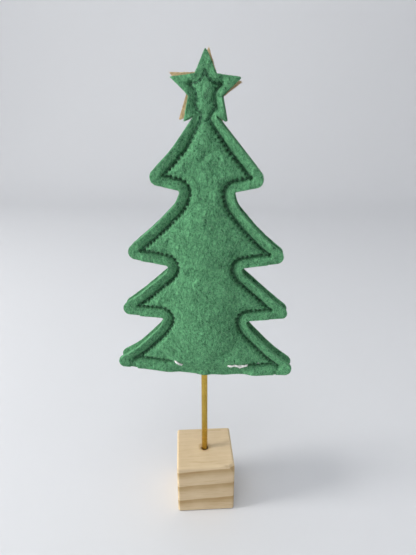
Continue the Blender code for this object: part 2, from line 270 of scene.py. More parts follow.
def new_group(
    name: str, inputs: dict[str, tuple[str, object]], outputs: dict[str, str]
) -> tuple[bpy.types.NodeTree, Nodes, bpy.types.Node, bpy.types.Node]:
    """A shader node group with named sockets.

    Args:
        name: The group's name.
        inputs: For each input its socket type and default value.
        outputs: For each output its socket type.

    Returns:
        The group, a builder for its nodes, its input node and its output node.
    """
    group = bpy.data.node_groups.new(name, "ShaderNodeTree")
    for key, (kind, value) in inputs.items():
        socket = group.interface.new_socket(key, in_out="INPUT", socket_type="NodeSocket" + kind)
        if value is not None:
            socket.default_value = value
    for key, kind in outputs.items():
        group.interface.new_socket(key, in_out="OUTPUT", socket_type="NodeSocket" + kind)
    given, result = (group.nodes.new("NodeGroup" + way) for way in ("Input", "Output"))
    return group, Nodes(group), given, result


@dataclass(frozen=True)
class FeltFibres:
    """Matted wool: crossing layers of fine curved strands, ridged ones and soft streaks.

    Each layer has its turn in degrees, its density beside the felt's, and its weight.
    """

    ridges: tuple[tuple[float, float, float], ...] = (
        (8.0, 1.6, 0.20),
        (62.0, 1.3, 0.16),
        (-47.0, 1.8, 0.16),
        (-76.0, 1.1, 0.14),
    )
    streaks: tuple[tuple[float, float, float], ...] = (
        (10.0, 1.1, 0.26),
        (-24.0, 0.9, 0.22),
        (48.0, 1.0, 0.14),
    )
    ridge_stretch: float = 0.20
    ridge_half: float = 0.13
    streak_stretch: float = 0.22
    streak_range: tuple[float, float] = (0.28, 0.72)
    swirl: float = 3.4 * MM
    swirl_density: float = 0.16
    cloud: float = 0.16
    cloud_density: float = 0.05
    tones: tuple[float, float] = (0.16, 1.12)

    def strands(
        self, nodes: Nodes, place: object, turn: float, stretch: float, density: object
    ) -> object:
        """Noise drawn out into strands, which stand upright at a turn of 0 degrees."""
        spin = (0.0, math.radians(turn), 0.0)
        turned = nodes.add("Mapping", {"Vector": place, "Rotation": spin}).outputs[0]
        drawn = nodes.add("Mapping", {"Vector": turned, "Scale": (1.0, 1.0, stretch)}).outputs[0]
        return nodes.noise(drawn, density, 1.0, 0.4)

    def build(self) -> bpy.types.NodeTree:
        """Makes the group, which gives a colour and a height."""
        group, nodes, given, result = new_group(
            "Felt fibres",
            {
                "Place": ("Vector", None),
                "Dark": ("Color", (0.0, 0.0, 0.0, 1.0)),
                "Light": ("Color", (1.0, 1.0, 1.0, 1.0)),
                "Strand density": ("Float", 1500.0),
            },
            {"Colour": "Color", "Height": "Float"},
        )
        place, dark, light, density = given.outputs[:4]
        wide = nodes.math("MULTIPLY", density, self.swirl_density)
        swirl = nodes.noise(place, wide, 1.0, output=1)
        names = {0: swirl, 1: (self.swirl, self.swirl, self.swirl), 2: place}
        bent = nodes.add("VectorMath", names, operation="MULTIPLY_ADD").outputs[0]
        height = 0.0
        for turn, factor, weight in self.ridges:
            dense = nodes.math("MULTIPLY", density, factor)
            layer = self.strands(nodes, bent, turn, self.ridge_stretch, dense)
            from_middle = nodes.math("ABSOLUTE", nodes.math("SUBTRACT", layer, 0.5))
            ridge = nodes.spread(from_middle, 0.0, self.ridge_half, weight, 0.0)
            height = nodes.math("ADD", height, ridge)
        for turn, factor, weight in self.streaks:
            dense = nodes.math("MULTIPLY", density, factor)
            layer = self.strands(nodes, bent, turn, self.streak_stretch, dense)
            height = nodes.math("ADD", height, nodes.spread(layer, *self.streak_range, 0.0, weight))
        cloud = nodes.noise(place, nodes.math("MULTIPLY", density, self.cloud_density))
        tone = nodes.math("ADD", height, nodes.math("MULTIPLY", cloud, self.cloud))
        colour = nodes.mix(nodes.even(tone, *self.tones), dark, light)
        nodes.feed(result.inputs["Colour"], colour)
        nodes.feed(result.inputs["Height"], height)
        return group


@dataclass(frozen=True)
class WoodGrain:
    """Straight grain: early and late wood bands across Z, fine pores along X, and a soft drift."""

    drift: float = 22.0
    bow: float = 4.5 * MM
    tilt: float = -0.07
    late_rise: tuple[float, float] = (0.35, 0.93)
    late_fall: tuple[float, float] = (0.95, 1.0)
    late_weight: float = 0.55
    streaks: tuple[float, float, float] = (60.0, 600.0, 900.0)
    streak_weight: float = 0.35
    pores: tuple[float, float] = (0.60, 0.72)
    pore_weight: float = 0.16
    cloud: float = 45.0
    cloud_weight: float = 0.5
    relief: float = 0.6

    def build(self) -> bpy.types.NodeTree:
        """Makes the group, which gives a colour and a height."""
        group, nodes, given, result = new_group(
            "Wood grain",
            {
                "Place": ("Vector", None),
                "Early wood": ("Color", (0.8, 0.7, 0.5, 1.0)),
                "Late wood": ("Color", (0.6, 0.4, 0.2, 1.0)),
                "Ring width": ("Float", 11.8 * MM),
            },
            {"Colour": "Color", "Height": "Float"},
        )
        place, early, late, ring_width = given.outputs[:4]
        split = nodes.add("SeparateXYZ", {0: place})
        bow = nodes.math("SUBTRACT", nodes.noise(place, self.drift), 0.5)
        across = nodes.math("ADD", split.outputs[2], nodes.math("MULTIPLY", bow, self.bow))
        tilt = nodes.math("MULTIPLY", split.outputs[0], self.tilt)
        rings = nodes.math("DIVIDE", nodes.math("ADD", across, tilt), ring_width)
        tooth = nodes.math("FRACT", rings)
        rise = nodes.spread(tooth, *self.late_rise)
        fall = nodes.spread(tooth, *self.late_fall, 1.0, 0.0)
        band = nodes.math("MULTIPLY", nodes.math("MULTIPLY", rise, fall), self.late_weight)
        stretched = nodes.add("Mapping", {"Vector": place, "Scale": self.streaks}).outputs[0]
        fine = nodes.noise(stretched, 1.0, 3.0, 0.6)
        pores = nodes.spread(fine, *self.pores)
        cloud = nodes.math("SUBTRACT", nodes.noise(place, self.cloud, 3.0, 0.6), 0.5)
        tone = nodes.math("ADD", band, nodes.math("MULTIPLY", fine, self.streak_weight))
        tone = nodes.math("ADD", tone, nodes.math("MULTIPLY", pores, self.pore_weight))
        tone = nodes.math("ADD", tone, nodes.math("MULTIPLY", cloud, self.cloud_weight))
        height = nodes.math("SUBTRACT", nodes.math("MULTIPLY", fine, self.relief), pores)
        nodes.feed(result.inputs["Colour"], nodes.mix(tone, early, late))
        nodes.feed(result.inputs["Height"], height)
        return group


class Library:
    """The node groups, each built once."""

    def __init__(self) -> None:
        """Builds the groups."""
        self.felt = FeltFibres().build()
        self.wood = WoodGrain().build()


def new_material(name: str) -> tuple[bpy.types.Material, Nodes, bpy.types.Node, object]:
    """A material, a builder for its nodes, its shader, and the place on the piece."""
    made = bpy.data.materials.new(name)
    made.use_nodes = True
    nodes = Nodes(made.node_tree)
    place = nodes.add("TexCoord").outputs["Object"]
    return made, nodes, made.node_tree.nodes["Principled BSDF"], place


def use_group(nodes: Nodes, group: bpy.types.NodeTree, inputs: dict) -> bpy.types.Node:
    """Places a node group in a material with its own values."""
    made = nodes.add("Group", node_tree=group)
    for key, value in inputs.items():
        nodes.feed(made.inputs[key], value)
    return made


def set_shader(shader: bpy.types.Node, values: dict[str, object]) -> None:
    """Sets a shader's own sockets by name."""
    for key, value in values.items():
        shader.inputs[key].default_value = value


def bump(
    nodes: Nodes, shader: bpy.types.Node, height: object, depth: float, strength: float
) -> None:
    """Feeds a height into the shader's normal."""
    made = nodes.add("Bump", {"Height": height, "Distance": depth, "Strength": strength})
    nodes.feed(shader.inputs["Normal"], made.outputs[0])


@dataclass(frozen=True)
class FeltFinish:
    """Wool felt of one colour."""

    name: str
    dark: Colour
    light: Colour
    # The colour of the painted shade in the seam groove.
    groove: Colour
    density: float = 1080.0
    depth: float = 0.42 * MM
    strength: float = 0.85
    rough: float = 0.93
    shine: float = 0.18
    sheen: float = 0.05
    sheen_rough: float = 0.55
    # How far the painted highlight lifts the cut edge toward the light colour.
    edge_light: float = 0.12

    def build(self, library: Library) -> bpy.types.Material:
        """Makes the material: fibres, painted shade in the seam and a painted highlight on the cut
        edge.
        """
        made, nodes, shader, place = new_material(self.name)
        inputs = {
            "Place": place,
            "Dark": self.dark,
            "Light": self.light,
            "Strand density": self.density,
        }
        fibres = use_group(nodes, library.felt, inputs)
        # Painted highlight along the cut edge.
        edge = nodes.add("Attribute", attribute_name="edge").outputs["Fac"]
        wear_and_highlight = nodes.math("MULTIPLY", edge, self.edge_light)
        colour = nodes.mix(wear_and_highlight, fibres.outputs["Colour"], self.light)
        # Painted shade in the seam groove, partly the darker squeezed felt.
        pressed_and_shaded = nodes.add("Attribute", attribute_name="pressed_and_shaded").outputs["Fac"]
        colour = nodes.mix(pressed_and_shaded, colour, self.groove)
        nodes.feed(shader.inputs["Base Color"], colour)
        values = {
            "Roughness": self.rough,
            "Sheen Weight": self.sheen,
            "Sheen Roughness": self.sheen_rough,
            "Sheen Tint": self.light,
            "Specular IOR Level": self.shine,
        }
        set_shader(shader, values)
        bump(nodes, shader, fibres.outputs["Height"], self.depth, self.strength)
        return made


@dataclass(frozen=True)
class ThreadFinish:
    """Spun thread of one colour, with the fine streaks of its fibres."""

    name: str
    dark: Colour
    light: Colour
    streaks: float = 4200.0
    streak_range: tuple[float, float] = (0.3, 0.7)
    depth: float = 0.05 * MM
    strength: float = 0.6
    rough: float = 0.62
    sheen: float = 0.2

    def build(self) -> bpy.types.Material:
        """Makes the material."""
        made, nodes, shader, place = new_material(self.name)
        streak = nodes.noise(place, self.streaks)
        share = nodes.spread(streak, *self.streak_range)
        nodes.feed(shader.inputs["Base Color"], nodes.mix(share, self.dark, self.light))
        set_shader(shader, {"Roughness": self.rough, "Sheen Weight": self.sheen})
        bump(nodes, shader, streak, self.depth, self.strength)
        return made


@dataclass(frozen=True)
class WoodFinish:
    """Bare light wood, sanded, with straight grain."""

    name: str = "light wood"
    early: Colour = (0.760, 0.605, 0.395, 1.0)
    late: Colour = (0.380, 0.225, 0.070, 1.0)
    # The colour of the wear rubbed into the wood round the hole's mouth.
    wear_and_highlight: Colour = (0.540, 0.370, 0.165, 1.0)
    turn: float = math.radians(9.0)
    worn_share: float = 0.55
    worn_reach: tuple[float, float] = (3.0 * MM, 5.2 * MM)
    worn_high: tuple[float, float] = (36.0 * MM, 38.0 * MM)
    height_range: tuple[float, float] = (-0.4, 0.6)
    rough_range: tuple[float, float] = (0.78, 0.60)
    shine: float = 0.3
    depth: float = 0.12 * MM
    strength: float = 0.5

    def build(self, library: Library) -> bpy.types.Material:
        """Makes the material, its grain turned with the block."""
        made, nodes, shader, place = new_material(self.name)
        turned = nodes.add("Mapping", {"Vector": place, "Rotation": (0.0, 0.0, -self.turn)})
        inputs = {"Place": turned.outputs[0], "Early wood": self.early, "Late wood": self.late}
        grain = use_group(nodes, library.wood, inputs)
        split = nodes.add("SeparateXYZ", {0: place})
        across = nodes.math("MULTIPLY", split.outputs[0], split.outputs[0])
        deep = nodes.math("MULTIPLY", split.outputs[1], split.outputs[1])
        away = nodes.math("SQRT", nodes.math("ADD", across, deep))
        rubbed = nodes.spread(away, *self.worn_reach, self.worn_share, 0.0)
        rubbed = nodes.math("MULTIPLY", rubbed, nodes.spread(split.outputs[2], *self.worn_high))
        colour = nodes.mix(rubbed, grain.outputs["Colour"], self.wear_and_highlight)
        nodes.feed(shader.inputs["Base Color"], colour)
        rough = nodes.spread(grain.outputs["Height"], *self.height_range, *self.rough_range)
        nodes.feed(shader.inputs["Roughness"], rough)
        set_shader(shader, {"Specular IOR Level": self.shine})
        bump(nodes, shader, grain.outputs["Height"], self.depth, self.strength)
        return made


@dataclass(frozen=True)
class BrassFinish:
    """Drawn brass: fine lines along the rod and a little tarnish."""

    name: str = "brass"
    bright: Colour = (0.56, 0.38, 0.075, 1.0)
    dull: Colour = (0.43, 0.28, 0.048, 1.0)
    lines: float = 5200.0
    line_stretch: float = 0.02
    spots: float = 60.0
    spot_range: tuple[float, float] = (0.42, 0.72)
    rough: float = 0.17
    rougher: float = 0.16
    depth: float = 0.02 * MM
    strength: float = 0.35

    def build(self) -> bpy.types.Material:
        """Makes the material."""
        made, nodes, shader, place = new_material(self.name)
        drawn = nodes.add("Mapping", {"Vector": place, "Scale": (1.0, 1.0, self.line_stretch)})
        lines = nodes.noise(drawn.outputs[0], self.lines)
        tarnish = nodes.noise(place, self.spots, 4.0, 0.6)
        share = nodes.spread(tarnish, *self.spot_range)
        nodes.feed(shader.inputs["Base Color"], nodes.mix(share, self.bright, self.dull))
        rough = nodes.math("MULTIPLY", nodes.math("ADD", share, lines), self.rougher)
        nodes.feed(shader.inputs["Roughness"], nodes.math("ADD", rough, self.rough))
        set_shader(shader, {"Metallic": 1.0})
        bump(nodes, shader, lines, self.depth, self.strength)
        return made


@dataclass(frozen=True)
class FillingFinish:
    """Loose white fibre."""

    name: str = "fibre filling"
    dark: Colour = (0.58, 0.58, 0.56, 1.0)
    light: Colour = (0.86, 0.86, 0.84, 1.0)
    density: float = 700.0
    depth: float = 1.0 * MM
    strength: float = 0.8
    rough: float = 0.95

    def build(self, library: Library) -> bpy.types.Material:
        """Makes the material."""
        made, nodes, shader, place = new_material(self.name)
        inputs = {
            "Place": place,
            "Dark": self.dark,
            "Light": self.light,
            "Strand density": self.density,
        }
        fibres = use_group(nodes, library.felt, inputs)
        nodes.feed(shader.inputs["Base Color"], fibres.outputs["Colour"])
        set_shader(shader, {"Roughness": self.rough})
        bump(nodes, shader, fibres.outputs["Height"], self.depth, self.strength)
        return made


# Each felt's groove colour is its painted shade in the seam.
GREEN_FELT = FeltFinish(
    "green felt",
    dark=(0.002, 0.052, 0.020, 1.0),
    light=(0.176, 0.488, 0.236, 1.0),
    groove=(0.002, 0.048, 0.022, 1.0),
)
GOLD_FELT = FeltFinish(
    "gold felt",
    dark=(0.400, 0.260, 0.125, 1.0),
    light=(0.760, 0.560, 0.330, 1.0),
    groove=(0.200, 0.115, 0.045, 1.0),
)
GREEN_THREAD = ThreadFinish("green thread", (0.020, 0.110, 0.050, 1.0), (0.090, 0.290, 0.150, 1.0))
GREEN_FIBRE = ThreadFinish("green fibre", (0.110, 0.340, 0.170, 1.0), (0.310, 0.600, 0.380, 1.0))
GOLD_FIBRE = ThreadFinish("gold fibre", (0.500, 0.350, 0.190, 1.0), (0.800, 0.640, 0.420, 1.0))
WHITE_THREAD = ThreadFinish("white thread", (0.78, 0.78, 0.75, 1.0), (0.93, 0.93, 0.91, 1.0))


# The cutting pattern


@dataclass(frozen=True)
class Pattern:
    """The outline that both felts are cut to, on the plane of the tree.

    Places on the plane are x across and z up from the rod's top end, as in the model's own source.
    """

    rod_top: float = 165.4 * MM
    block_side: float = 38.1 * MM
    rod_shown: float = 61.3 * MM
    half: float = 62.7 * MM
    rise: float = 155.8 * MM
    shift: float = 0.6 * MM
    lean: float = math.radians(0.4)
    neck_half: float = 5.5 * MM
    hem_round_share: float = 2.4
    neck_round: float = 0.15 * MM
    star_outer: float = 18.7 * MM
    star_inner: float = 8.9 * MM
    tip_round: float = 0.25 * MM
    notch_round: float = 0.4 * MM
    points: int = 5
    gold_outer: float = 20.0 * MM
    gold_inner: float = 9.5 * MM
    gold_shift: float = -1.5 * MM
    gold_turn: float = math.radians(-6.5)
    arc_turn: float = math.radians(9.0)
    corner_reach: float = 0.46
    right_shares: tuple[tuple[float, float, float], ...] = (
        (0.556, 0.778, 0.068),
        (0.250, 0.752, 0.024),
        (0.275, 0.706, 0.220),
        (0.448, 0.626, 0.600),
        (0.560, 0.583, 0.500),
        (0.797, 0.508, 0.106),
        (0.340, 0.476, 0.024),
        (0.355, 0.454, 0.126),
        (0.650, 0.351, 0.600),
        (0.858, 0.285, 0.100),
        (0.397, 0.262, 0.024),
        (0.430, 0.228, 0.300),
        (0.668, 0.130, 0.800),
        (0.978, 0.040, 0.098),
    )
    left_shares: tuple[tuple[float, float, float], ...] = (
        (0.283, 0.890, 0.600),
        (0.549, 0.780, 0.072),
        (0.212, 0.752, 0.024),
        (0.258, 0.706, 0.220),
        (0.428, 0.634, 0.500),
        (0.540, 0.592, 0.600),
        (0.800, 0.504, 0.106),
        (0.333, 0.474, 0.024),
        (0.345, 0.452, 0.126),
        (0.596, 0.360, 0.600),
        (0.903, 0.268, 0.100),
        (0.383, 0.258, 0.024),
        (0.430, 0.216, 0.300),
        (0.670, 0.115, 0.800),
        (0.983, 0.034, 0.088),
    )

    @property
    def hem(self) -> float:
        """The height of the hem's middle."""
        return self.block_side + self.rod_shown - self.rod_top

    @property
    def neck(self) -> float:
        """The height of the neck under the star."""
        return self.hem + self.rise

    @property
    def star_middle(self) -> float:
        """The height of the star's middle."""
        half_turn = math.pi / self.points
        leg_x = self.star_outer * math.sin(half_turn)
        leg_drop = self.star_outer * math.cos(half_turn)
        return self.neck + self.star_inner + (leg_drop - self.star_inner) * self.neck_half / leg_x

    def to_world(self) -> Matrix:
        """The place and lean of the plane in the model's frame."""
        place = Matrix.Translation((self.shift, 0.0, self.rod_top))
        return place @ Matrix.Rotation(self.lean, 4, "Y")

    def star_side(self, centre: float, last: int, outer: float, inner: float) -> list:
        """The right side's corners of a star, from its top point to the corner numbered last."""
        corners = []
        for i in range(last + 1):
            reach = inner if i % 2 else outer
            angle = i * math.pi / self.points
            bend = self.notch_round if i % 2 else self.tip_round
            corners.append((reach * math.sin(angle), centre + reach * math.cos(angle), bend))
        return corners

    def tree(self) -> np.ndarray:
        """The outline of the green felts."""
        sides = []
        star = (self.star_middle, self.points - 1, self.star_outer, self.star_inner)
        for shares in (self.right_shares, self.left_shares):
            side = self.star_side(*star)
            side.append((self.neck_half, self.neck, self.neck_round))
            for width, height, bend in shares:
                side.append((width * self.half, self.hem + height * self.rise, bend * self.half))
            sides.append(side)
        right, left = sides
        right.append((0.0, self.hem, self.hem_round_share * self.half))
        return self.rounded(right + [(-x, z, bend) for x, z, bend in reversed(left[1:])])

    def gold(self) -> np.ndarray:
        """The outline of the gold star."""
        corners = []
        cosine, sine = math.cos(self.gold_turn), math.sin(self.gold_turn)
        side = self.star_side(0.0, self.points, self.gold_outer, self.gold_inner)
        left = [(-x, z, bend) for x, z, bend in reversed(side[1:-1])]
        for x, z, bend in side + left:
            across = x * cosine - z * sine + self.gold_shift
            corners.append((across, x * sine + z * cosine + self.star_middle, bend))
        return self.rounded(corners)

    def rounded(self, corners: list) -> np.ndarray:
        """A closed outline through (x, z, radius) corners, each rounded by its radius."""
        places = [Vector((x, z)) for x, z, _ in corners]
        points = []
        for i, (_, _, radius) in enumerate(corners):
            after = places[(i + 1) % len(corners)]
            points += self.round_corner(places[i - 1], places[i], after, radius)
        return np.array([tuple(point) for point in points])

    def round_corner(self, before: Vector, corner: Vector, after: Vector, radius: float) -> list:
        """The arc that rounds one corner."""
        start = (before - corner).normalized()
        end = (after - corner).normalized()
        half = start.angle(end) / 2
        reach = min(
            radius / math.tan(half),
            self.corner_reach * (before - corner).length,
            self.corner_reach * (after - corner).length,
        )
        radius = reach * math.tan(half)
        turn = math.pi - 2 * half
        steps = max(1, math.ceil(turn / self.arc_turn))
        centre = corner + (start + end).normalized() * (radius / math.sin(half))
        first = corner + start * reach - centre
        last = corner + end * reach - centre
        points = []
        for i in range(steps + 1):
            share = i / steps
            ray = first * math.sin((1 - share) * turn) + last * math.sin(share * turn)
            points.append(centre + ray / math.sin(turn))
        return points


def along(loop: np.ndarray, step: float) -> np.ndarray:
    """A closed loop again, with points an even step apart."""
    closed = np.vstack([loop, loop[:1]])
    runs = np.linalg.norm(np.diff(closed, axis=0), axis=1)
    travel = np.concatenate([[0.0], np.cumsum(runs)])
    count = max(3, round(travel[-1] / step))
    stops = np.arange(count) * travel[-1] / count
    return np.column_stack([np.interp(stops, travel, closed[:, k]) for k in (0, 1)])


def within(points: np.ndarray, loop: np.ndarray) -> np.ndarray:
    """Whether each point lies inside a closed loop."""
    inside = np.zeros(len(points), dtype=bool)
    x, z = points[:, 0], points[:, 1]
    for (xa, za), (xb, zb) in zip(loop, np.roll(loop, -1, axis=0)):
        if za == zb:
            continue
        crosses = (za > z) != (zb > z)
        inside ^= crosses & (x < xa + (z - za) * (xb - xa) / (zb - za))
    return inside


class Track:
    """A closed loop on the plane that answers how far a point lies from it, and how far along."""

    def __init__(self, loop: np.ndarray, step: float) -> None:
        """Divides the loop finely and keeps it for searching."""
        self.loop = along(loop, step)
        ahead = np.roll(self.loop, -1, axis=0) - self.loop
        self.step = float(np.linalg.norm(ahead, axis=1).mean())
        self.length = self.step * len(self.loop)
        self.ahead = ahead / self.step
        around = self.ahead + np.roll(self.ahead, 1, axis=0)
        self.inward = np.column_stack([around[:, 1], -around[:, 0]])
        self.tree = KDTree(len(self.loop))
        for i, (x, z) in enumerate(self.loop):
            self.tree.insert((x, z, 0.0), i)
        self.tree.balance()

    def measure(self, points: np.ndarray) -> tuple[np.ndarray, np.ndarray]:
        """The distance of each point from the loop, positive inside, and its travel along it."""
        found = [self.tree.find((x, z, 0.0)) for x, z in points]
        index = np.array([entry[1] for entry in found])
        away = np.array([entry[2] for entry in found])
        beside = points - self.loop[index]
        offset = (beside * self.ahead[index]).sum(axis=1)
        sign = np.where((beside * self.inward[index]).sum(axis=1) > 0, 1.0, -1.0)
        exact = np.sqrt(np.maximum(away**2 - np.clip(offset, -self.step, self.step) ** 2, 0.0))
        return sign * exact, index * self.step + offset

    def toward(self, points: np.ndarray) -> np.ndarray:
        """The inward direction of the loop beside each point."""
        index = [self.tree.find((x, z, 0.0))[1] for x, z in points]
        return unit_rows(self.inward[index])

    def at(self, travel: np.ndarray) -> np.ndarray:
        """The places at a travel along the loop."""
        stops = np.arange(len(self.loop) + 1) * self.step
        closed = np.vstack([self.loop, self.loop[:1]])
        wrapped = np.mod(travel, self.length)
        return np.column_stack([np.interp(wrapped, stops, closed[:, k]) for k in (0, 1)])


@dataclass(frozen=True)
class Ripple:
    """Smooth random relief of one size."""

    size: float
    height: float
    apart: float = 0.0

    def at(self, points: np.ndarray, seed: float) -> np.ndarray:
        """The relief at each point, in the pattern that a seed gives."""
        return wander(points, self.size, seed + self.apart) * self.height


@dataclass
class SewnFelt:
    """The relief of the sewn felts: the seam, the stuffed crown, the margins and the stitches."""

    pattern: Pattern = field(default_factory=Pattern)
    felt: float = 2.0 * MM
    gap: float = 0.3 * MM
    nest: float = 2.9 * MM
    rod_radius: float = 1.985 * MM
    rod_slack: float = 0.6 * MM
    rod_opening: float = 14.0 * MM
    seed: float = 3.7

    # The seam line
    fine: float = 0.25 * MM
    stitch: float = 2.6 * MM
    seam_inset: float = 5.8 * MM
    star_inset: float = 4.2 * MM
    hem_inset: float = 1.6 * MM
    hem_low: float = 3.0 * MM
    hem_blend: float = 4.0 * MM
    inset_slack: float = 0.06

    # The stuffed crown and the wall beside the seam
    grid: float = 1.0 * MM
    rounds: int = 3600
    crown: float = 6.8 * MM
    crown_power: float = 0.42
    cloth_power: float = 0.62
    cloth_share: float = 0.6
    wall_high: float = 2.3 * MM
    wall: float = 0.60 * MM
    wall_power: float = 1.3

    # The bulges between the needle holes
    scallop: float = 1.40 * MM
    scallop_back: float = 1.10 * MM
    scallop_full: float = 1.0 * MM
    scallop_fade: float = 1.8 * MM
    tooth_shares: tuple[float, float] = (0.45, 1.22)
    star_blend: float = 6.0 * MM
    star_calm: float = 0.5

    # The margins
    flare_top: float = 2.5 * MM
    flare_hem: float = 3.0 * MM
    flare_past: float = 1.15
    flare_even: float = 0.35
    flare_power: float = 1.9
    swell: float = 0.70 * MM
    swell_run: float = 0.45 * MM
    drawn_in: float = 0.55 * MM

    # The hem's opening
    open_left: float = 18.5 * MM
    open_right: float = 27.5 * MM
    open_blend: float = 8.0 * MM
    open_lift: float = 1.5 * MM
    open_rise: float = 17.0 * MM
    open_full: float = 9.0 * MM
    open_fade: float = 7.0 * MM

    # The wrinkles
    hollow: Ripple = Ripple(11 * MM, 0.34 * MM)
    dimple: Ripple = Ripple(5 * MM, 0.16 * MM, 9)
    hollow_rise: float = 6.0 * MM
    pucker: Ripple = Ripple(2.4 * MM, 0.24 * MM, 21)
    pucker_slant: float = 0.35
    pucker_run: float = 3.2 * MM
    pucker_rise: float = 0.7 * MM
    wave: Ripple = Ripple(9 * MM, 0.42 * MM, 33)
    wave_slant: float = 0.2
    wave_rise: float = 4.0 * MM
    matting: Ripple = Ripple(1.5 * MM, 0.06 * MM, 47)
    matting_slant: float = 0.45

    # What the thread presses, and the painted shade along the seam
    groove_deep: float = 0.45 * MM
    groove_half: float = 0.75 * MM
    hole_deep: float = 0.50 * MM
    hole_half: float = 0.65 * MM
    tooth_soft: float = 0.32 * MM
    shade: float = 0.55
    shade_start: float = 0.24 * MM
    shade_draw: float = 0.30 * MM
    shade_run: float = 0.52 * MM
    shade_power: float = 1.5
    under_range: tuple[float, float] = (0.6, 0.35)
    under_light: float = 0.42

    def __post_init__(self) -> None:
        """Works out the seam, its stitches, and the even crown of a skin under pressure."""
        outline = self.pattern.tree()
        fine = along(outline, self.fine)
        self.rim = Track(outline, self.fine)
        self.seam = Track(self.inset(fine, self.seam_depth(fine[:, 1])), self.fine)
        count = round(self.seam.length / self.stitch)
        self.pitch = self.seam.length / count
        self.holes = self.seam.at(np.arange(count) * self.pitch)
        self.teeth = np.random.default_rng(11).uniform(*self.tooth_shares, count)
        self.low, self.skin = self.membrane()
        self.body: BVHTree | None = None
        self.body_high = 1.0

    @property
    def seam_lift(self) -> float:
        """How far the middle of a felt stands from the plane at the seam."""
        return (self.felt + self.gap) / 2

    def seam_depth(self, z: np.ndarray) -> np.ndarray:
        """How far the seam runs inside the rim: less in the star than in the tree."""
        rise = self.pattern.star_inner + self.star_inset
        share = np.clip((z - self.pattern.neck) / rise + 1, 0, 1)
        low = 1 - smooth_step((z - self.pattern.hem - self.hem_low) / self.hem_blend)
        return self.seam_inset + (self.star_inset - self.seam_inset) * share + self.hem_inset * low

    def inset(self, loop: np.ndarray, depth: np.ndarray) -> np.ndarray:
        """A fine loop moved inward, less the points that come too near another side."""
        ahead = unit_rows(np.roll(loop, -1, axis=0) - np.roll(loop, 1, axis=0))
        inward = np.column_stack([ahead[:, 1], -ahead[:, 0]])
        moved = loop + inward * depth[:, None]
        near = np.array([np.linalg.norm(loop - point, axis=1).min() for point in moved])
        return moved[near > depth * (1 - self.inset_slack)]

    def membrane(self) -> tuple[np.ndarray, np.ndarray]:
        """Shares of the crown over a grid: a skin held along the seam, under even pressure."""
        low = self.seam.loop.min(axis=0) - self.grid
        size = self.seam.loop.max(axis=0) + self.grid - low
        columns, rows = (math.ceil(length / self.grid) + 1 for length in size)
        x, z = np.meshgrid(np.arange(columns), np.arange(rows), indexing="ij")
        places = low + np.column_stack([x.ravel(), z.ravel()]) * self.grid
        inside = within(places, self.seam.loop).reshape(columns, rows)
        height = np.zeros((columns, rows))
        for _ in range(self.rounds):
            around = sum(np.roll(height, way, axis=k) for way in (1, -1) for k in (0, 1))
            height = np.where(inside, around / 4 + 1, 0.0)
        return low, height / height.max()

    def even_crown(self, points: np.ndarray) -> np.ndarray:
        """The crown of the even skin at each point."""
        places = (points - self.low) / self.grid
        most = np.array(self.skin.shape) - 2
        cell = np.clip(np.floor(places).astype(int), 0, most)
        part = np.clip(places - cell, 0, 1)
        share = np.zeros(len(points))
        for i in (0, 1):
            for k in (0, 1):
                weight = np.abs(1 - i - part[:, 0]) * np.abs(1 - k - part[:, 1])
                share += weight * self.skin[cell[:, 0] + i, cell[:, 1] + k]
        return self.crown * share**self.crown_power

    def simulated_crown(self, points: np.ndarray) -> np.ndarray:
        """The crown of the simulated cloth at each point, found by looking along Y."""
        ahead = Vector((0.0, 1.0, 0.0))
        heights = np.zeros(len(points))
        for i, (x, z) in enumerate(points):
            hit = self.body.ray_cast(Vector((x, -1.0, z)), ahead)[0]
            heights[i] = -hit.y if hit else 0.0
        return self.crown * np.clip(heights / self.body_high, 0, None) ** self.cloth_power

    def crown_at(self, points: np.ndarray) -> np.ndarray:
        """The stuffed crown at each point: the cloth's, steadied by the even skin's."""
        crown = self.even_crown(points)
        if self.body is not None:
            share = self.cloth_share
            crown = (1 - share) * crown + share * self.simulated_crown(points)
        return (crown**3 + self.wall_high**3) ** (1 / 3)

    def opening(self, points: np.ndarray) -> np.ndarray:
        """1 in the stretch of hem that no machine stitch closes, and 0 on the rest."""
        x, z = points[:, 0], points[:, 1]
        left = smooth_step((x + self.open_left) / self.open_blend + 0.5)
        right = smooth_step((self.open_right - x) / self.open_blend + 0.5)
        low = z < self.pattern.hem + self.open_rise
        return left * right * low

    def lift(self, points: np.ndarray, side: Side, plain: bool = False) -> np.ndarray:
        """How far the middle of a felt stands from the plane between the felts.

        Args:
            points: Places on the plane.
            side: The felt's side, which sets its own small wrinkles.
            plain: Leaves out the stitches' scallops and the wrinkles.

        Returns:
            One distance for each point.
        """
        away, travel = self.seam.measure(points)
        opened = self.opening(points)
        sewn = 1 - opened
        near = away if plain else self.toothed(points, away, travel, sewn)
        near = np.maximum(near, 0.0)
        wall = 1 - np.exp(-((near / self.wall) ** self.wall_power))
        crown = self.crown_at(points) * np.where(near > 0, wall * sewn + opened, 0.0)
        margin = self.margin(points, away, travel, sewn)
        lift = self.seam_lift + np.where(near > 0, crown, margin)
        edge, _ = self.rim.measure(points)
        climb = smooth_step(np.maximum(edge, 0) / self.open_rise)
        smooth = self.seam_lift + self.open_lift + (self.crown - self.open_lift) * climb
        blend = opened * (1 - smooth_step((edge - self.open_full) / self.open_fade))
        lift = lift * (1 - blend) + smooth * blend
        if not plain:
            lift += self.wrinkles(points, away, travel, sewn, self.seed * side.value)
        return np.maximum(lift, self.rod_lift(points))

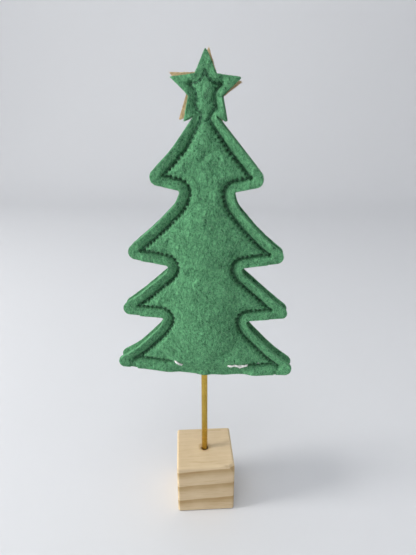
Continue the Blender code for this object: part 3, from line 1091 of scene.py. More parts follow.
    def margin(
        self, points: np.ndarray, away: np.ndarray, travel: np.ndarray, sewn: np.ndarray
    ) -> np.ndarray:
        """How far the margin stands out: it swells beside the thread and flares toward the rim."""
        rise = np.clip((points[:, 1] - self.pattern.hem) / self.pattern.rise, 0, 1)
        flare = self.flare_hem + (self.flare_top - self.flare_hem) * rise
        out = np.clip(-away / self.seam_depth(points[:, 1]), 0, self.flare_past)
        curved = 1 - np.maximum(1 - out, 0) ** self.flare_power
        even = self.flare_even
        past = np.maximum(-away - self.drawn_in * self.beside_hole(travel), 0)
        swell = self.swell * (1 - np.exp(-past / self.swell_run)) * sewn
        return flare * (even * out + (1 - even) * curved) + swell

    def beside_hole(self, travel: np.ndarray) -> np.ndarray:
        """1 at a needle hole and 0 half way between two, by the travel along the seam."""
        return 0.5 + 0.5 * np.cos(math.tau * travel / self.pitch)

    def calm(self, points: np.ndarray) -> np.ndarray:
        """The share of the seam's relief, which is less in the star."""
        above = (points[:, 1] - self.pattern.neck) / self.star_blend
        return 1 - self.star_calm * smooth_step(above + 0.5)

    def toothed(
        self, points: np.ndarray, away: np.ndarray, travel: np.ndarray, sewn: np.ndarray
    ) -> np.ndarray:
        """How far each point lies inside the body's edge, which bulges between the needle holes."""
        number = np.floor(travel / self.pitch).astype(int) % len(self.teeth)
        bulge = self.scallop * self.teeth[number] * (1 - self.beside_hole(travel))
        fade = np.exp(-np.maximum(away - self.scallop_full, 0.0) / self.scallop_fade)
        return away + self.calm(points) * (bulge - self.scallop_back) * sewn * fade

    def wrinkles(
        self,
        points: np.ndarray,
        away: np.ndarray,
        travel: np.ndarray,
        sewn: np.ndarray,
        seed: float,
    ) -> np.ndarray:
        """Soft hollows of the stuffing, puckers drawn by the stitches, and the margins' waves."""
        depth = np.abs(away)
        soft = self.hollow.at(points, seed) + self.dimple.at(points, seed)
        soft *= np.clip(depth / self.hollow_rise, 0, 1)
        pucker = self.pucker.at(np.column_stack([travel, depth * self.pucker_slant]), seed)
        pucker *= np.exp(-depth / self.pucker_run) * np.clip(depth / self.pucker_rise, 0, 1) * sewn
        wave = self.wave.at(np.column_stack([travel, depth * self.wave_slant]), seed)
        wave = np.where(away > 0, 0.0, wave * np.clip(depth / self.wave_rise, 0, 1))
        matted = self.matting.at(points * np.array([1.0, self.matting_slant]), seed)
        return soft + (pucker + wave) * self.calm(points) + matted

    def rod_lift(self, points: np.ndarray) -> np.ndarray:
        """How far a felt has to stand out to pass round the rod."""
        from_rod = points[:, 0] + self.pattern.shift + points[:, 1] * math.tan(self.pattern.lean)
        beside = np.clip(np.abs(from_rod) / self.rod_opening, 0, 1)
        clear = self.rod_radius + self.rod_slack + self.seam_lift
        return clear * np.cos(beside * math.pi / 2) ** 2

    def press(self, points: np.ndarray) -> tuple[np.ndarray, np.ndarray]:
        """How deep the thread presses the outer skin, and how much painted shade darkens its
        groove.

        Args:
            points: Places on the plane.

        Returns:
            The groove's depth with its needle holes, and the share of painted shade from 0 to 1.
        """
        away, travel = self.seam.measure(points)
        sewn = 1 - self.opening(points)
        to_hole = (np.mod(travel / self.pitch + 0.5, 1.0) - 0.5) * self.pitch
        near = self.toothed(points, away, travel, sewn)
        on_tooth = np.exp(-((np.maximum(near, 0) / self.tooth_soft) ** 2))
        groove = self.groove_deep * np.exp(-((away / self.groove_half) ** 2)) * on_tooth
        hole = self.hole_deep * np.exp(-((np.hypot(to_hole, away) / self.hole_half) ** 2))
        # Painted shade, partly the darker squeezed felt: full in the groove and in the notches
        # between the teeth, fading into the body and out over the margin.
        start = self.shade_start + self.shade_draw * self.beside_hole(travel)
        past = np.maximum(-away - start, 0) / self.shade_run
        shade = np.where(near > 0, on_tooth, np.exp(-(past**self.shade_power)))
        # Less painted shade along the tiers' undersides, where the groove faces up to the light.
        first, run = self.under_range
        under = smooth_step((self.seam.toward(points)[:, 1] - first) / run)
        shade *= self.shade * (1 - self.under_light * under)
        return (groove + hole) * sewn, np.clip(shade * sewn, 0, 1)

    def sewn_runs(self) -> np.ndarray:
        """The numbers of the stitches that close the seam, less those of the hem's opening."""
        count = len(self.holes)
        middles = self.seam.at((np.arange(count) + 0.5) * self.pitch)
        return np.flatnonzero(self.opening(middles) < 0.5)


@dataclass
class Inflation:
    """Blows up the stuffed body as cloth that is held along the seam.

    The cloth is worked at ten times its size, where the solver's distances suit it, and shrinks
    a little less than its pattern, so that it wrinkles as real felt does.
    """

    relief: SewnFelt
    scale: float = 10.0
    step: float = 2.3 * MM
    clear_of_seam: float = 0.6
    proud: float = 1.2 * MM
    proud_rise: float = 4.0 * MM
    least: float = 0.3 * MM
    on_seam: float = 1e-5
    frames: int = 26
    top_percent: float = 99.0
    cloth: tuple[tuple[str, float], ...] = (
        ("quality", 6),
        ("mass", 0.4),
        ("tension_stiffness", 22.0),
        ("compression_stiffness", 22.0),
        ("shear_stiffness", 10.0),
        ("bending_stiffness", 1.6),
        ("tension_damping", 12.0),
        ("shear_damping", 12.0),
        ("bending_damping", 1.0),
        ("air_damping", 2.5),
        ("pin_stiffness", 40.0),
        ("shrink_min", -0.035),
        ("uniform_pressure_force", 5.0),
    )

    def pillow(self) -> bpy.types.Object:
        """The flat pillow: two skins that share the seam, a little proud of each other."""
        seam = along(self.relief.seam.loop, self.step)
        fill = lattice(seam, self.step)
        away, _ = self.relief.seam.measure(fill)
        flat = triangulate("pillow", seam, fill[away > self.clear_of_seam * self.step])
        shape = bmesh.new()
        shape.from_mesh(flat)
        bpy.data.meshes.remove(flat)
        away, _ = self.relief.seam.measure(np.array([vertex.co.xy for vertex in shape.verts]))
        rise = np.clip(away / self.proud_rise, 0, 1) * self.proud
        for vertex, lift in zip(shape.verts, rise):
            free = lift > self.least and not vertex.is_boundary
            vertex.co = Vector((vertex.co.x, -lift if free else 0.0, vertex.co.y))
        drawn = bmesh.ops.duplicate(shape, geom=shape.verts[:] + shape.edges[:] + shape.faces[:])
        for part in drawn["geom"]:
            if isinstance(part, bmesh.types.BMVert):
                part.co.y = -part.co.y
        bmesh.ops.remove_doubles(shape, verts=shape.verts, dist=0.01 * MM)
        bmesh.ops.recalc_face_normals(shape, faces=shape.faces)
        bmesh.ops.scale(shape, vec=Vector((self.scale,) * 3), verts=shape.verts)
        return link("pillow", mesh_of("pillow", shape))

    def set_cloth(self, piece: bpy.types.Object) -> None:
        """Makes the pillow cloth, held along the seam and blown up by an even pressure."""
        held = piece.vertex_groups.new(name="seam")
        seam = [v.index for v in piece.data.vertices if abs(v.co.y) < self.on_seam]
        held.add(seam, 1.0, "REPLACE")
        cloth = piece.modifiers.new("cloth", "CLOTH")
        settings = cloth.settings
        for key, value in self.cloth:
            setattr(settings, key, value)
        settings.vertex_group_mass = held.name
        settings.use_pressure = True
        settings.effector_weights.gravity = 0.0
        cloth.collision_settings.use_collision = False
        cloth.collision_settings.use_self_collision = False
        cloth.point_cache.frame_end = self.frames

    def run(self) -> None:
        """Runs the cloth and gives its front skin to the relief."""
        piece = self.pillow()
        self.set_cloth(piece)
        scene = bpy.context.scene
        for frame in range(1, self.frames + 1):
            scene.frame_set(frame)
        shaped = piece.evaluated_get(bpy.context.evaluated_depsgraph_get()).to_mesh()
        places = np.array([v.co for v in shaped.vertices]) / self.scale
        faces = [tuple(face.vertices) for face in shaped.polygons]
        piece.to_mesh_clear()
        scene.frame_set(1)
        bpy.data.objects.remove(piece)
        high = float(np.percentile(-places[:, 1], self.top_percent))
        self.relief.body = BVHTree.FromPolygons([Vector(place) for place in places], faces)
        self.relief.body_high = high
        LOG.info("inflated: %d points, %.1f mm high", len(places), high / MM)


def lattice(loop: np.ndarray, step: float) -> np.ndarray:
    """A hexagonal pattern of points inside a loop."""
    low, high = loop.min(axis=0), loop.max(axis=0)
    row_step = step * math.sin(math.pi / 3)
    rows = np.arange(math.ceil((high[1] - low[1]) / row_step) + 1)
    columns = np.arange(math.ceil((high[0] - low[0]) / step) + 1)
    x, z = np.meshgrid(low[0] + columns * step, low[1] + rows * row_step)
    x = x + np.where(rows % 2, step / 2, 0.0)[:, None]
    points = np.column_stack([x.ravel(), z.ravel()])
    return points[within(points, loop)]


def triangulate(name: str, loop: np.ndarray, fill: np.ndarray) -> bpy.types.Mesh:
    """A flat mesh in x and y, inside a closed loop and through the fill points."""
    points = [Vector(point) for point in np.vstack([loop, fill])]
    count = len(loop)
    edges = [(i, (i + 1) % count) for i in range(count)]
    made = delaunay_2d_cdt(points, edges, [list(range(count))], 1, 0.01 * MM)
    mesh = bpy.data.meshes.new(name)
    mesh.from_pydata([(p.x, p.y, 0.0) for p in made[0]], [], [list(face) for face in made[2]])
    shape = bmesh.new()
    shape.from_mesh(mesh)
    loose = [vertex for vertex in shape.verts if not vertex.link_faces]
    bmesh.ops.delete(shape, geom=loose, context="VERTS")
    shape.to_mesh(mesh)
    shape.free()
    return mesh


@dataclass
class FeltPieces:
    """Cuts the felts, lays them on the relief and gives them their thickness and finish."""

    relief: SewnFelt
    rim_step: float = 0.5 * MM
    near_step: float = 0.42 * MM
    far_step: float = 0.90 * MM
    near_band: float = 2.5 * MM
    band_gap: float = 0.4
    rim_gap: float = 0.55
    edge_round: float = 0.22 * MM
    edge_fade: float = 0.35 * MM
    cut_lean: float = 0.24
    lean_range: tuple[float, float] = (0.35, 0.45)
    thinnest: float = 0.9 * MM
    green_fibres: int = 9500
    gold_fibres: int = 1100

    def spread(self, outline: np.ndarray) -> tuple[np.ndarray, np.ndarray]:
        """The rim and the fill points of a piece, closer together beside the seam."""
        rim = along(outline, self.rim_step)
        fine = lattice(rim, self.near_step)
        coarse = lattice(rim, self.far_step)
        away = np.abs(self.relief.seam.measure(fine)[0])
        fine = fine[away < self.near_band]
        away = np.abs(self.relief.seam.measure(coarse)[0])
        coarse = coarse[away >= self.near_band + self.band_gap * self.far_step]
        fill = np.vstack([fine, coarse])
        edge = Track(outline, self.relief.fine).measure(fill)[0]
        return rim, fill[edge > self.rim_gap * self.rim_step]

    def cut(self, name: str, outline: np.ndarray, side: Side, nest: float) -> bpy.types.Object:
        """Makes one felt.

        Args:
            name: The piece's name.
            outline: Its cut line.
            side: The side that it lies on.
            nest: How far it lies over the green felt, which is 0 for the green felts.

        Returns:
            The piece, thick and dented by its stitches, on the tree's place.
        """
        rim, fill = self.spread(outline)
        mesh = triangulate(name, rim, fill)
        flat = np.array([(v.co.x, v.co.y) for v in mesh.vertices])
        places = np.column_stack([flat[:, 0], np.zeros(len(flat)), flat[:, 1]])
        mesh.vertices.foreach_set("co", places.ravel())
        mesh.update()
        if mesh.polygons[0].normal.y * side.value < 0:
            mesh.flip_normals()
        piece = link(name, mesh)
        apply_modifier(piece, "SOLIDIFY", thickness=self.relief.felt, offset=0.0)
        self.lay_skins(piece.data, outline, flat, side, nest)
        round_edges(piece, self.edge_round, 2, 62)
        piece.data.transform(self.relief.pattern.to_world())
        shade_smooth(piece, 50)
        return piece

    def lay_skins(
        self, mesh: bpy.types.Mesh, outline: np.ndarray, flat: np.ndarray, side: Side, nest: float
    ) -> None:
        """Lays both skins on the relief, the outer one dented by the stitches.

        The cut edge stands square to the flared margin, so the outer skin draws back from the rim
        and the inner one reaches past it. The painted shade in the seam groove, partly the darker
        squeezed felt, and how near the cut edge is, for its painted highlight, are kept as
        attributes.

        Args:
            mesh: The flat felt, with its two skins' points one after the other.
            outline: Its cut line.
            flat: The places of one skin's points on the plane.
            side: The side that it lies on.
            nest: How far it lies over the green felt.
        """
        relief = self.relief
        count = len(flat)
        rim = Track(outline, relief.fine)
        edge, _ = rim.measure(flat)
        out = -relief.seam.measure(flat)[0] / relief.seam_depth(flat[:, 1])
        first, run = self.lean_range
        lean = self.cut_lean * relief.felt / 2 * smooth_step((out - first) / run)
        drawn = rim.toward(flat) * lean[:, None]
        depth, shade = relief.press(flat)
        outer = relief.lift(flat, side) + nest + relief.felt / 2 - depth
        inner = relief.lift(flat, side, plain=True) + nest - relief.felt / 2
        inner = np.minimum(inner, outer - self.thinnest)
        places = np.zeros(len(mesh.vertices) * 3)
        mesh.vertices.foreach_get("co", places)
        places = places.reshape(-1, 3)
        ahead = (places[:count, 1] - places[count : 2 * count, 1]).mean() * side.value > 0
        start = 0 if ahead else count
        for begin, lift, way in ((start, outer, 1.0), (count - start, inner, -1.0)):
            x, z = (flat + drawn * way).T
            places[begin : begin + count] = np.column_stack([x, side.value * lift, z])
        mesh.vertices.foreach_set("co", places.ravel())
        # Painted shade in the seam groove, on the outer skin only.
        pressed_and_shaded = np.zeros(len(mesh.vertices))
        pressed_and_shaded[start : start + count] = shade
        # How near the cut edge is, for the painted highlight.
        wear_and_highlight = np.tile(np.exp(-np.maximum(edge, 0) / self.edge_fade), 2)
        for name, values in (("pressed_and_shaded", pressed_and_shaded), ("edge", wear_and_highlight)):
            data = mesh.attributes.new(name, "FLOAT", "POINT").data
            data.foreach_set("value", values.astype(np.float32))
        mesh.update()

    def build(
        self,
        green: bpy.types.Material,
        gold: bpy.types.Material,
        green_fibre: bpy.types.Material,
        gold_fibre: bpy.types.Material,
    ) -> None:
        """Makes both green felts and the gold star, with their loose fibres."""
        tree, star = self.relief.pattern.tree(), self.relief.pattern.gold()
        for name, node, side in (
            ("felt_front", "front_felt", Side.FRONT),
            ("felt_back", "back_felt", Side.BACK),
        ):
            piece = self.cut(name, tree, side, 0.0)
            place_on_body(piece, "tree", green, (node,))
            Fuzz().build(piece, side, self.green_fibres, green_fibre, "green_felt")
        piece = self.cut("star_gold", star, Side.BACK, self.relief.nest)
        place_on_body(piece, "tree", gold, ("gold_star",))
        Fuzz().build(piece, Side.BACK, self.gold_fibres, gold_fibre, "gold_felt")


@dataclass
class Fuzz:
    """Loose fibre ends that stand a little off the felt and soften its faces and its cut edge."""

    shortest: float = 0.8 * MM
    longest: float = 2.3 * MM
    radius: float = 0.048 * MM
    tip: float = 0.25
    rings: int = 4
    sides: int = 3
    spread: float = 0.65
    rise_shares: tuple[float, float] = (0.12, 0.45)
    fall_shares: tuple[float, float] = (0.5, 1.0)
    bend_shares: tuple[float, float] = (-0.4, 0.4)
    facing: float = -0.3

    def build(
        self,
        felt: bpy.types.Object,
        side: Side,
        count: int,
        material: bpy.types.Material,
        slot: str,
    ) -> None:
        """Grows the fibres of one felt.

        Args:
            felt: The piece that they stand on.
            side: The side that it lies on.
            count: How many fibres there are.
            material: Their finish.
            slot: Not used.
        """
        random = np.random.default_rng(count + int(side.value))
        root, normal = self.roots(felt.data, side, count, random)
        angle = random.normal(0.0, self.spread, count)
        ahead = np.column_stack([np.sin(angle), np.zeros(count), np.cos(angle)])
        ahead *= random.choice([-1.0, 1.0], count)[:, None]
        ahead = unit_rows(ahead - normal * (ahead * normal).sum(axis=1)[:, None])
        across = np.cross(normal, ahead)
        length = random.uniform(self.shortest, self.longest, count)
        rise = random.uniform(*self.rise_shares, count)
        fall = rise * random.uniform(*self.fall_shares, count)
        bend = random.uniform(*self.bend_shares, count)
        points = []
        for share in np.linspace(0.0, 1.0, self.rings):
            up = length * (rise * share - fall * share**2)
            middle = root + ahead * (length * share)[:, None]
            middle += normal * up[:, None] + across * (length * bend * share**2)[:, None]
            width = self.radius * (1.0 - (1.0 - self.tip) * share)
            for k in range(self.sides):
                turn = math.tau * k / self.sides
                points.append(middle + width * (math.cos(turn) * normal + math.sin(turn) * across))
        places = np.stack(points, axis=1).reshape(-1, 3)
        mesh = bpy.data.meshes.new("fibres_" + felt.name)
        mesh.from_pydata(places.tolist(), [], self.faces(count).tolist())
        mesh.shade_smooth()
        place_on_body(link(mesh.name, mesh), "tree", material)

    def faces(self, count: int) -> np.ndarray:
        """The corners of every face of a number of fibres, each an open tube."""
        first = np.arange(count) * self.rings * self.sides
        rows = []
        for ring in range(self.rings - 1):
            for k in range(self.sides):
                near, far = ring * self.sides + k, ring * self.sides + (k + 1) % self.sides
                corners = (near, far, far + self.sides, near + self.sides)
                rows.append(first[:, None] + np.array(corners))
        return np.vstack(rows)

    def roots(
        self, mesh: bpy.types.Mesh, side: Side, count: int, random: np.random.Generator
    ) -> tuple[np.ndarray, np.ndarray]:
        """Even random places on the outer skin and the cut edge, and the way that they face."""
        total = len(mesh.polygons)
        table = {}
        for key, width in (("center", 3), ("normal", 3), ("area", 1)):
            values = np.zeros(total * width)
            mesh.polygons.foreach_get(key, values)
            table[key] = values.reshape(total, width)
        outer = np.flatnonzero(table["normal"][:, 1] * side.value > self.facing)
        weight = table["area"][outer, 0]
        chosen = random.choice(outer, count, p=weight / weight.sum())
        return table["center"][chosen], table["normal"][chosen]


@dataclass
class Stitching:
    """The machine seam's stitches on both sides, and the white hand stitches in the hem."""

    relief: SewnFelt
    strand: float = 0.13 * MM
    white_strand: float = 0.44 * MM
    sides: int = 5
    rings: int = 9
    arch: float = 0.22 * MM
    white_arch: float = 0.42 * MM
    sink: float = 0.75 * MM
    twist_length: float = 1.3 * MM
    star_reach: float = 5.0 * MM
    arch_power: float = 0.55
    left_runs_mm: tuple[tuple[float, ...], ...] = ((-17.9, -13.6, 1.9, -1.9),)
    right_runs_mm: tuple[tuple[float, ...], ...] = (
        (15.4, 19.5, 0.9, 0.1),
        (19.2, 23.3, 1.1, -0.4),
        (23.2, 27.1, 0.6, 0.2),
        (21.8, 25.6, -0.4, 0.9),
        (32.4, 35.8, 0.5, 0.2),
    )

    def face_of_felt(self, flat: np.ndarray, side: Side) -> np.ndarray:
        """How far from the plane the dented outer skin lies."""
        depth, _ = self.relief.press(flat)
        return self.relief.lift(flat, side) + self.relief.felt / 2 - depth

    def add_strand(
        self,
        shape: bmesh.types.BMesh,
        line: np.ndarray,
        radius: float,
        start: float,
        strand_turn: float,
    ) -> None:
        """Adds one ply of a thread that twists round a line.

        Args:
            shape: The mesh to add to.
            line: The thread's middle line.
            radius: The ply's radius, which is also how far it lies from the line.
            start: Travel along the seam at the line's start, so that the twist runs on.
            strand_turn: The ply's place round the line.
        """
        ahead = unit_rows(np.gradient(line, axis=0))
        out = np.cross(ahead, np.array([0.0, 1.0, 0.0]))
        out /= np.maximum(np.linalg.norm(out, axis=1)[:, None], 1e-9)
        other = np.cross(ahead, out)
        run = np.concatenate([[0.0], np.cumsum(np.linalg.norm(np.diff(line, axis=0), axis=1))])
        turn = (start + run) / self.twist_length * math.tau + strand_turn
        middle = line + radius * (out * np.cos(turn)[:, None] + other * np.sin(turn)[:, None])
        rows = []
        for place, side_way, other_way in zip(middle, out, other):
            row = []
            for k in range(self.sides):
                angle = math.tau * k / self.sides
                point = place + radius * (side_way * math.cos(angle) + other_way * math.sin(angle))
                row.append(shape.verts.new(point))
            rows.append(row)
        for before, after in zip(rows, rows[1:]):
            for k in range(self.sides):
                n = (k + 1) % self.sides
                shape.faces.new((before[k], before[n], after[n], after[k]))
        shape.faces.new(rows[0][::-1])
        shape.faces.new(rows[-1])

    def stitch_lines(
        self, first: np.ndarray, last: np.ndarray, side: Side, over: np.ndarray, arch: float
    ) -> list[np.ndarray]:
        """The lines of stitches, each of which dips into the felt at its two holes.

        Args:
            first: The places of their first holes on the plane.
            last: The places of their last holes.
            side: The side that they lie on.
            over: How much farther out each lies, over another piece.
            arch: How high each stands over the felt at its middle.

        Returns:
            One line for each stitch.
        """
        share = np.linspace(0.0, 1.0, self.rings)
        middle = self.face_of_felt((first + last) / 2, side) + over
        rise = np.sin(share * math.pi) ** self.arch_power * (arch + self.sink) - self.sink
        lines = []
        for start, end, face in zip(first, last, middle):
            flat = start + (end - start) * share[:, None]
            lines.append(np.column_stack([flat[:, 0], side.value * (face + rise), flat[:, 1]]))
        return lines

    def twisted(
        self, name: str, lines: list[np.ndarray], starts: np.ndarray, radius: float
    ) -> bpy.types.Object:
        """Makes a piece of two-ply stitches along their lines, on the tree's place."""
        shape = bmesh.new()
        for start, line in zip(starts, lines):
            for strand_turn in (0.0, math.pi):
                self.add_strand(shape, line, radius, start, strand_turn)
        bmesh.ops.recalc_face_normals(shape, faces=shape.faces)
        mesh = mesh_of(name, shape)
        mesh.transform(self.relief.pattern.to_world())
        mesh.shade_smooth()
        return link(name, mesh)

    def machine_seam(self, name: str, side: Side) -> bpy.types.Object:
        """All stitches of one side."""
        relief = self.relief
        pattern = relief.pattern
        numbers = relief.sewn_runs()
        first = relief.seam.at(numbers * relief.pitch)
        last = relief.seam.at((numbers + 1) * relief.pitch)
        star = first[:, 1] > pattern.star_middle - pattern.star_inner - self.star_reach
        over = np.where(star & (side is Side.BACK), relief.nest, 0.0)
        lines = self.stitch_lines(first, last, side, over, self.arch)
        return self.twisted(name, lines, numbers * relief.pitch, self.strand)

    def hand_stitches(self, name: str, runs_mm: tuple[tuple[float, ...], ...]) -> bpy.types.Object:
        """White stitches in the front of the hem.

        Args:
            name: The piece's name.
            runs_mm: For each stitch its two ends across, how far its first end lies over the seam
                line, and how much higher its second end lies, all in millimetres.

        Returns:
            The piece.
        """
        relief = self.relief
        loop = relief.seam.loop
        low = loop[loop[:, 1] < relief.pattern.hem + 2 * relief.seam_inset]
        low = low[np.argsort(low[:, 0])]
        table = np.array(runs_mm) * MM
        ends = []
        for k in (0, 1):
            up = np.interp(table[:, k], low[:, 0], low[:, 1]) + table[:, 2] + k * table[:, 3]
            ends.append(np.column_stack([table[:, k], up]))
        over = np.full(len(table), self.white_strand)
        lines = self.stitch_lines(ends[0], ends[1], Side.FRONT, over, self.white_arch)
        return self.twisted(name, lines, table[:, 0], self.white_strand)

    def build(self, green: bpy.types.Material, white: bpy.types.Material) -> None:
        """Makes every thread."""
        for name, node, side in (
            ("stitches_front", "needle_thread", Side.FRONT),
            ("stitches_back", "bobbin_thread", Side.BACK),
        ):
            place_on_body(self.machine_seam(name, side), "tree", green, (node,))
        for name, node, runs_mm in (
            ("hand_stitch_left", "closing_stitch_left", self.left_runs_mm),
            ("hand_stitches_right", "closing_stitch_right", self.right_runs_mm),
        ):
            place_on_body(self.hand_stitches(name, runs_mm), "tree", white, (node,))


@dataclass
class Block:
    """The wooden block: rounded edges, a chipped corner, and a blind hole with a rubbed mouth."""

    side: float = 38.1 * MM
    edge: float = 1.5 * MM
    burr: float = 0.12 * MM
    turn: float = math.radians(9.0)
    hole_sides: int = 64
    hole_radius: float = 2.435 * MM
    hole_depth: float = 25.4 * MM
    mouth_width: float = 1.5 * MM
    mouth_depth: float = 0.6 * MM
    chip: float = 3.8 * MM
    chip_inset: float = 0.2 * MM
    chip_grain: float = 0.8 * MM
    chip_rough: float = 0.22
    chip_flat: tuple[float, float, float] = (1.35, 0.62, 0.55)
    chip_shares: tuple[tuple[float, ...], ...] = (
        (-0.25, -0.10, -0.12, 1.0),
        (-1.30, -0.02, 0.02, 0.62),
        (-0.02, -0.06, -1.30, 0.62),
    )
    chip_across: float = 0.9
    chip_up: float = 0.6
    chip_tilts: tuple[float, ...] = (24.0, -31.0, 52.0)
    chip_lean: float = math.radians(18.0)
    chip_twist: float = 0.6

    def cut(self, piece: bpy.types.Object, tool: bpy.types.Object) -> None:
        """Cuts the tool's shape out of the piece and removes the tool."""
        settle(tool)
        apply_modifier(piece, "BOOLEAN", operation="DIFFERENCE", solver="EXACT", object=tool)
        bpy.data.objects.remove(tool)

    def build(self, material: bpy.types.Material) -> None:
        """Makes the block."""
        middle = (0.0, 0.0, self.side / 2)
        piece = make(bpy.ops.mesh.primitive_cube_add, size=self.side, location=middle)
        piece.name = "wood_block"
        settle(piece)
        apply_modifier(piece, "BEVEL", width=self.edge, segments=5)
        hole = make(
            bpy.ops.mesh.primitive_cylinder_add,
            vertices=self.hole_sides,
            radius=self.hole_radius,
            depth=2 * self.hole_depth,
            location=(0.0, 0.0, self.side),
        )
        self.cut(piece, hole)
        mouth = make(
            bpy.ops.mesh.primitive_cone_add,
            vertices=self.hole_sides,
            radius1=self.hole_radius,
            radius2=self.hole_radius + 2 * self.mouth_width,
            depth=2 * self.mouth_depth,
            location=(0.0, 0.0, self.side),
        )
        self.cut(piece, mouth)
        self.chip_corner(piece)
        piece.rotation_euler = (0.0, 0.0, self.turn)
        settle(piece)
        round_edges(piece, self.burr, 2, 40)
        shade_smooth(piece, 35)
        apply_modifier(piece, "WEIGHTED_NORMAL", keep_sharp=True)
        place_on_body(piece, "base", material, ("base_block",))

    def chip_corner(self, piece: bpy.types.Object) -> None:
        """Breaks a splinter off the front right corner of the top."""
        half = self.side / 2
        for (across, front, up, size), tilt in zip(self.chip_shares, self.chip_tilts):
            tool = make(
                bpy.ops.mesh.primitive_ico_sphere_add,
                subdivisions=2,
                radius=self.chip * size,
                location=(
                    half + across * self.chip * self.chip_across - self.chip_inset,
                    -half - front * self.chip,
                    self.side + up * self.chip * self.chip_up,
                ),
                rotation=(math.radians(tilt), self.chip_lean, math.radians(tilt * self.chip_twist)),
                scale=self.chip_flat,
            )
            for vertex in tool.data.vertices:
                place = vertex.co / self.chip_grain + Vector((up, tilt, 0.0))
                vertex.co *= 1 + self.chip_rough * noise.noise(place)
            self.cut(piece, tool)


@dataclass
class Rod:
    """The brass rod, with its sawn ends broken."""

    sides: int = 72
    radius: float = 1.985 * MM
    length: float = 152.4 * MM
    foot: float = 13.0 * MM
    edge: float = 0.3 * MM

    def build(self, material: bpy.types.Material) -> None:
        """Makes the rod."""
        piece = make(
            bpy.ops.mesh.primitive_cylinder_add,
            vertices=self.sides,
            radius=self.radius,
            depth=self.length,
            location=(0.0, 0.0, self.foot + self.length / 2),
        )
        piece.name = "rod"
        settle(piece)
        round_edges(piece, self.edge, 3, 60)
        shade_smooth(piece, 35)
        place_on_body(piece, "post", material, ("brass_rod",))


@dataclass
class Filling:
    """The loose fibre inside, which takes the shape of the model's filling."""

    lump: float = 0.25 * MM
    lump_size: float = 3.0 * MM
    pocket: float = 3.2 * MM
    merge: float = 0.02 * MM

    def build(self, node: bpy.types.Object, material: bpy.types.Material) -> None:
        """Copies the filling's solid, divides it and gives it soft lumps."""
        shape = bmesh.new()
        shape.from_mesh(node.data)
        bmesh.ops.remove_doubles(shape, verts=shape.verts, dist=self.merge)
        bmesh.ops.subdivide_edges(shape, edges=shape.edges, cuts=2, use_grid_fill=True)
        shape.normal_update()
        for vertex in shape.verts:
            if math.hypot(vertex.co.x, vertex.co.y) > self.pocket:
                depth = 0.5 + 0.5 * noise.noise(vertex.co / self.lump_size)
                vertex.co -= vertex.normal * depth * self.lump
        mesh = mesh_of("fibre_filling", shape)
        mesh.shade_smooth()
        piece = link("fibre_filling", mesh)
        place_on_body(piece, "tree", material, ("stuffing",))


@dataclass(frozen=True)
class Lamp:
    """One soft square lamp that looks at the tree."""

    name: str
    place: tuple[float, float, float]
    size: float
    power: float
    colour: tuple[float, float, float]
    target: tuple[float, float, float] = (0.0, 0.0, 0.15)

    def build(self) -> None:
        """Adds the lamp."""
        data = bpy.data.lights.new(self.name, "AREA")
        data.shape = "SQUARE"
        data.size = self.size
        data.energy = self.power
        data.color = self.colour
        made = link(self.name, data)
        made.location = self.place
        aim = Vector(self.target) - Vector(self.place)
        made.rotation_euler = aim.to_track_quat("-Z", "Y").to_euler()


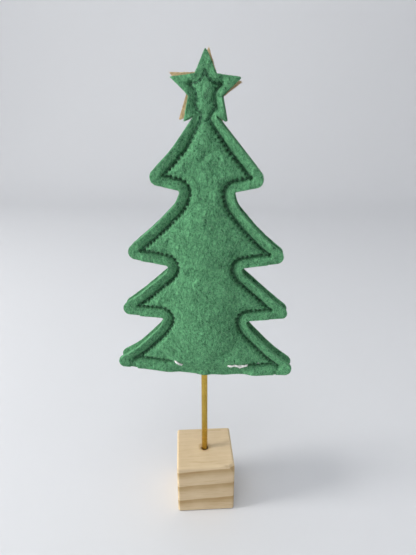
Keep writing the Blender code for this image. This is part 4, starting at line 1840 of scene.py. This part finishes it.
@dataclass
class Studio:
    """The floor, the lights and the camera."""

    image_height: float = 555.0
    focal_pixels: float = 440.0
    sensor: float = 36.0
    nearest: float = 0.01
    place: tuple[float, float, float] = (0.0263, -0.2399, 0.2614)
    pitch: float = math.radians(21.74)
    yaw: float = math.radians(5.7)
    floor_size: float = 3.0
    floor_rise: float = 2.2
    floor_sweep: float = 0.6
    floor_colour: Colour = (0.72, 0.73, 0.75, 1.0)
    floor_rough: float = 0.9
    room_colour: Colour = (0.86, 0.89, 0.94, 1.0)
    room_light: float = 0.08
    lamps: tuple[Lamp, ...] = (
        Lamp("window", (-1.36, -0.38, 0.48), 0.45, 20.5, (1.0, 0.985, 0.96)),
        Lamp("ceiling", (-0.20, -0.26, 1.55), 1.3, 9.3, (0.98, 0.99, 1.0)),
    )

    def camera(self) -> None:
        """Makes the camera at the photograph's viewing angle."""
        data = bpy.data.cameras.new("camera")
        data.sensor_fit = "VERTICAL"
        data.sensor_height = self.sensor
        data.lens = self.focal_pixels / self.image_height * self.sensor
        data.clip_start = self.nearest
        made = link("camera", data)
        made.location = self.place
        made.rotation_euler = (math.pi / 2 - self.pitch, 0.0, self.yaw)
        bpy.context.scene.camera = made

    def floor(self) -> None:
        """Makes a plain pale floor that sweeps up behind."""
        middle = (0.0, 0.0, 0.0)
        floor = make(bpy.ops.mesh.primitive_plane_add, size=self.floor_size, location=middle)
        floor.name = "floor"
        bpy.ops.object.mode_set(mode="EDIT")
        shape = bmesh.from_edit_mesh(floor.data)
        for edge in shape.edges:
            edge.select = all(vertex.co.y > 0 for vertex in edge.verts)
        bmesh.update_edit_mesh(floor.data)
        move = {"value": (0.0, 0.0, self.floor_rise)}
        bpy.ops.mesh.extrude_region_move(TRANSFORM_OT_translate=move)
        bpy.ops.object.mode_set(mode="OBJECT")
        round_edges(floor, self.floor_sweep, 12, 30)
        floor.data.shade_smooth()
        material, _, shader, _ = new_material("pale floor")
        set_shader(shader, {"Base Color": self.floor_colour, "Roughness": self.floor_rough})
        floor.data.materials.append(material)

    def room(self) -> None:
        """Adds the room's own light."""
        world = bpy.data.worlds.new("room light")
        world.use_nodes = True
        back = world.node_tree.nodes["Background"]
        back.inputs["Color"].default_value = self.room_colour
        back.inputs["Strength"].default_value = self.room_light
        bpy.context.scene.world = world

    def build(self) -> None:
        """Makes the whole stage."""
        self.camera()
        self.floor()
        for lamp in self.lamps:
            lamp.build()
        self.room()
        bpy.context.scene.view_settings.view_transform = "Standard"


def main() -> None:
    """Builds the looks in order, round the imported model."""
    logging.basicConfig(level=logging.INFO, format="%(message)s")
    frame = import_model()
    library = Library()
    Studio().build()
    relief = SewnFelt()
    LOG.info("seam %.0f mm, %d stitches", relief.seam.length / MM, len(relief.holes))
    Inflation(relief).run()
    FeltPieces(relief).build(
        GREEN_FELT.build(library),
        GOLD_FELT.build(library),
        GREEN_FIBRE.build(),
        GOLD_FIBRE.build(),
    )
    Stitching(relief).build(GREEN_THREAD.build(), WHITE_THREAD.build())
    Filling().build(frame["nodes"]["stuffing"], FillingFinish().build(library))
    Rod().build(BrassFinish().build())
    Block().build(WoodFinish().build(library))


if __name__ == "__main__":
    main()
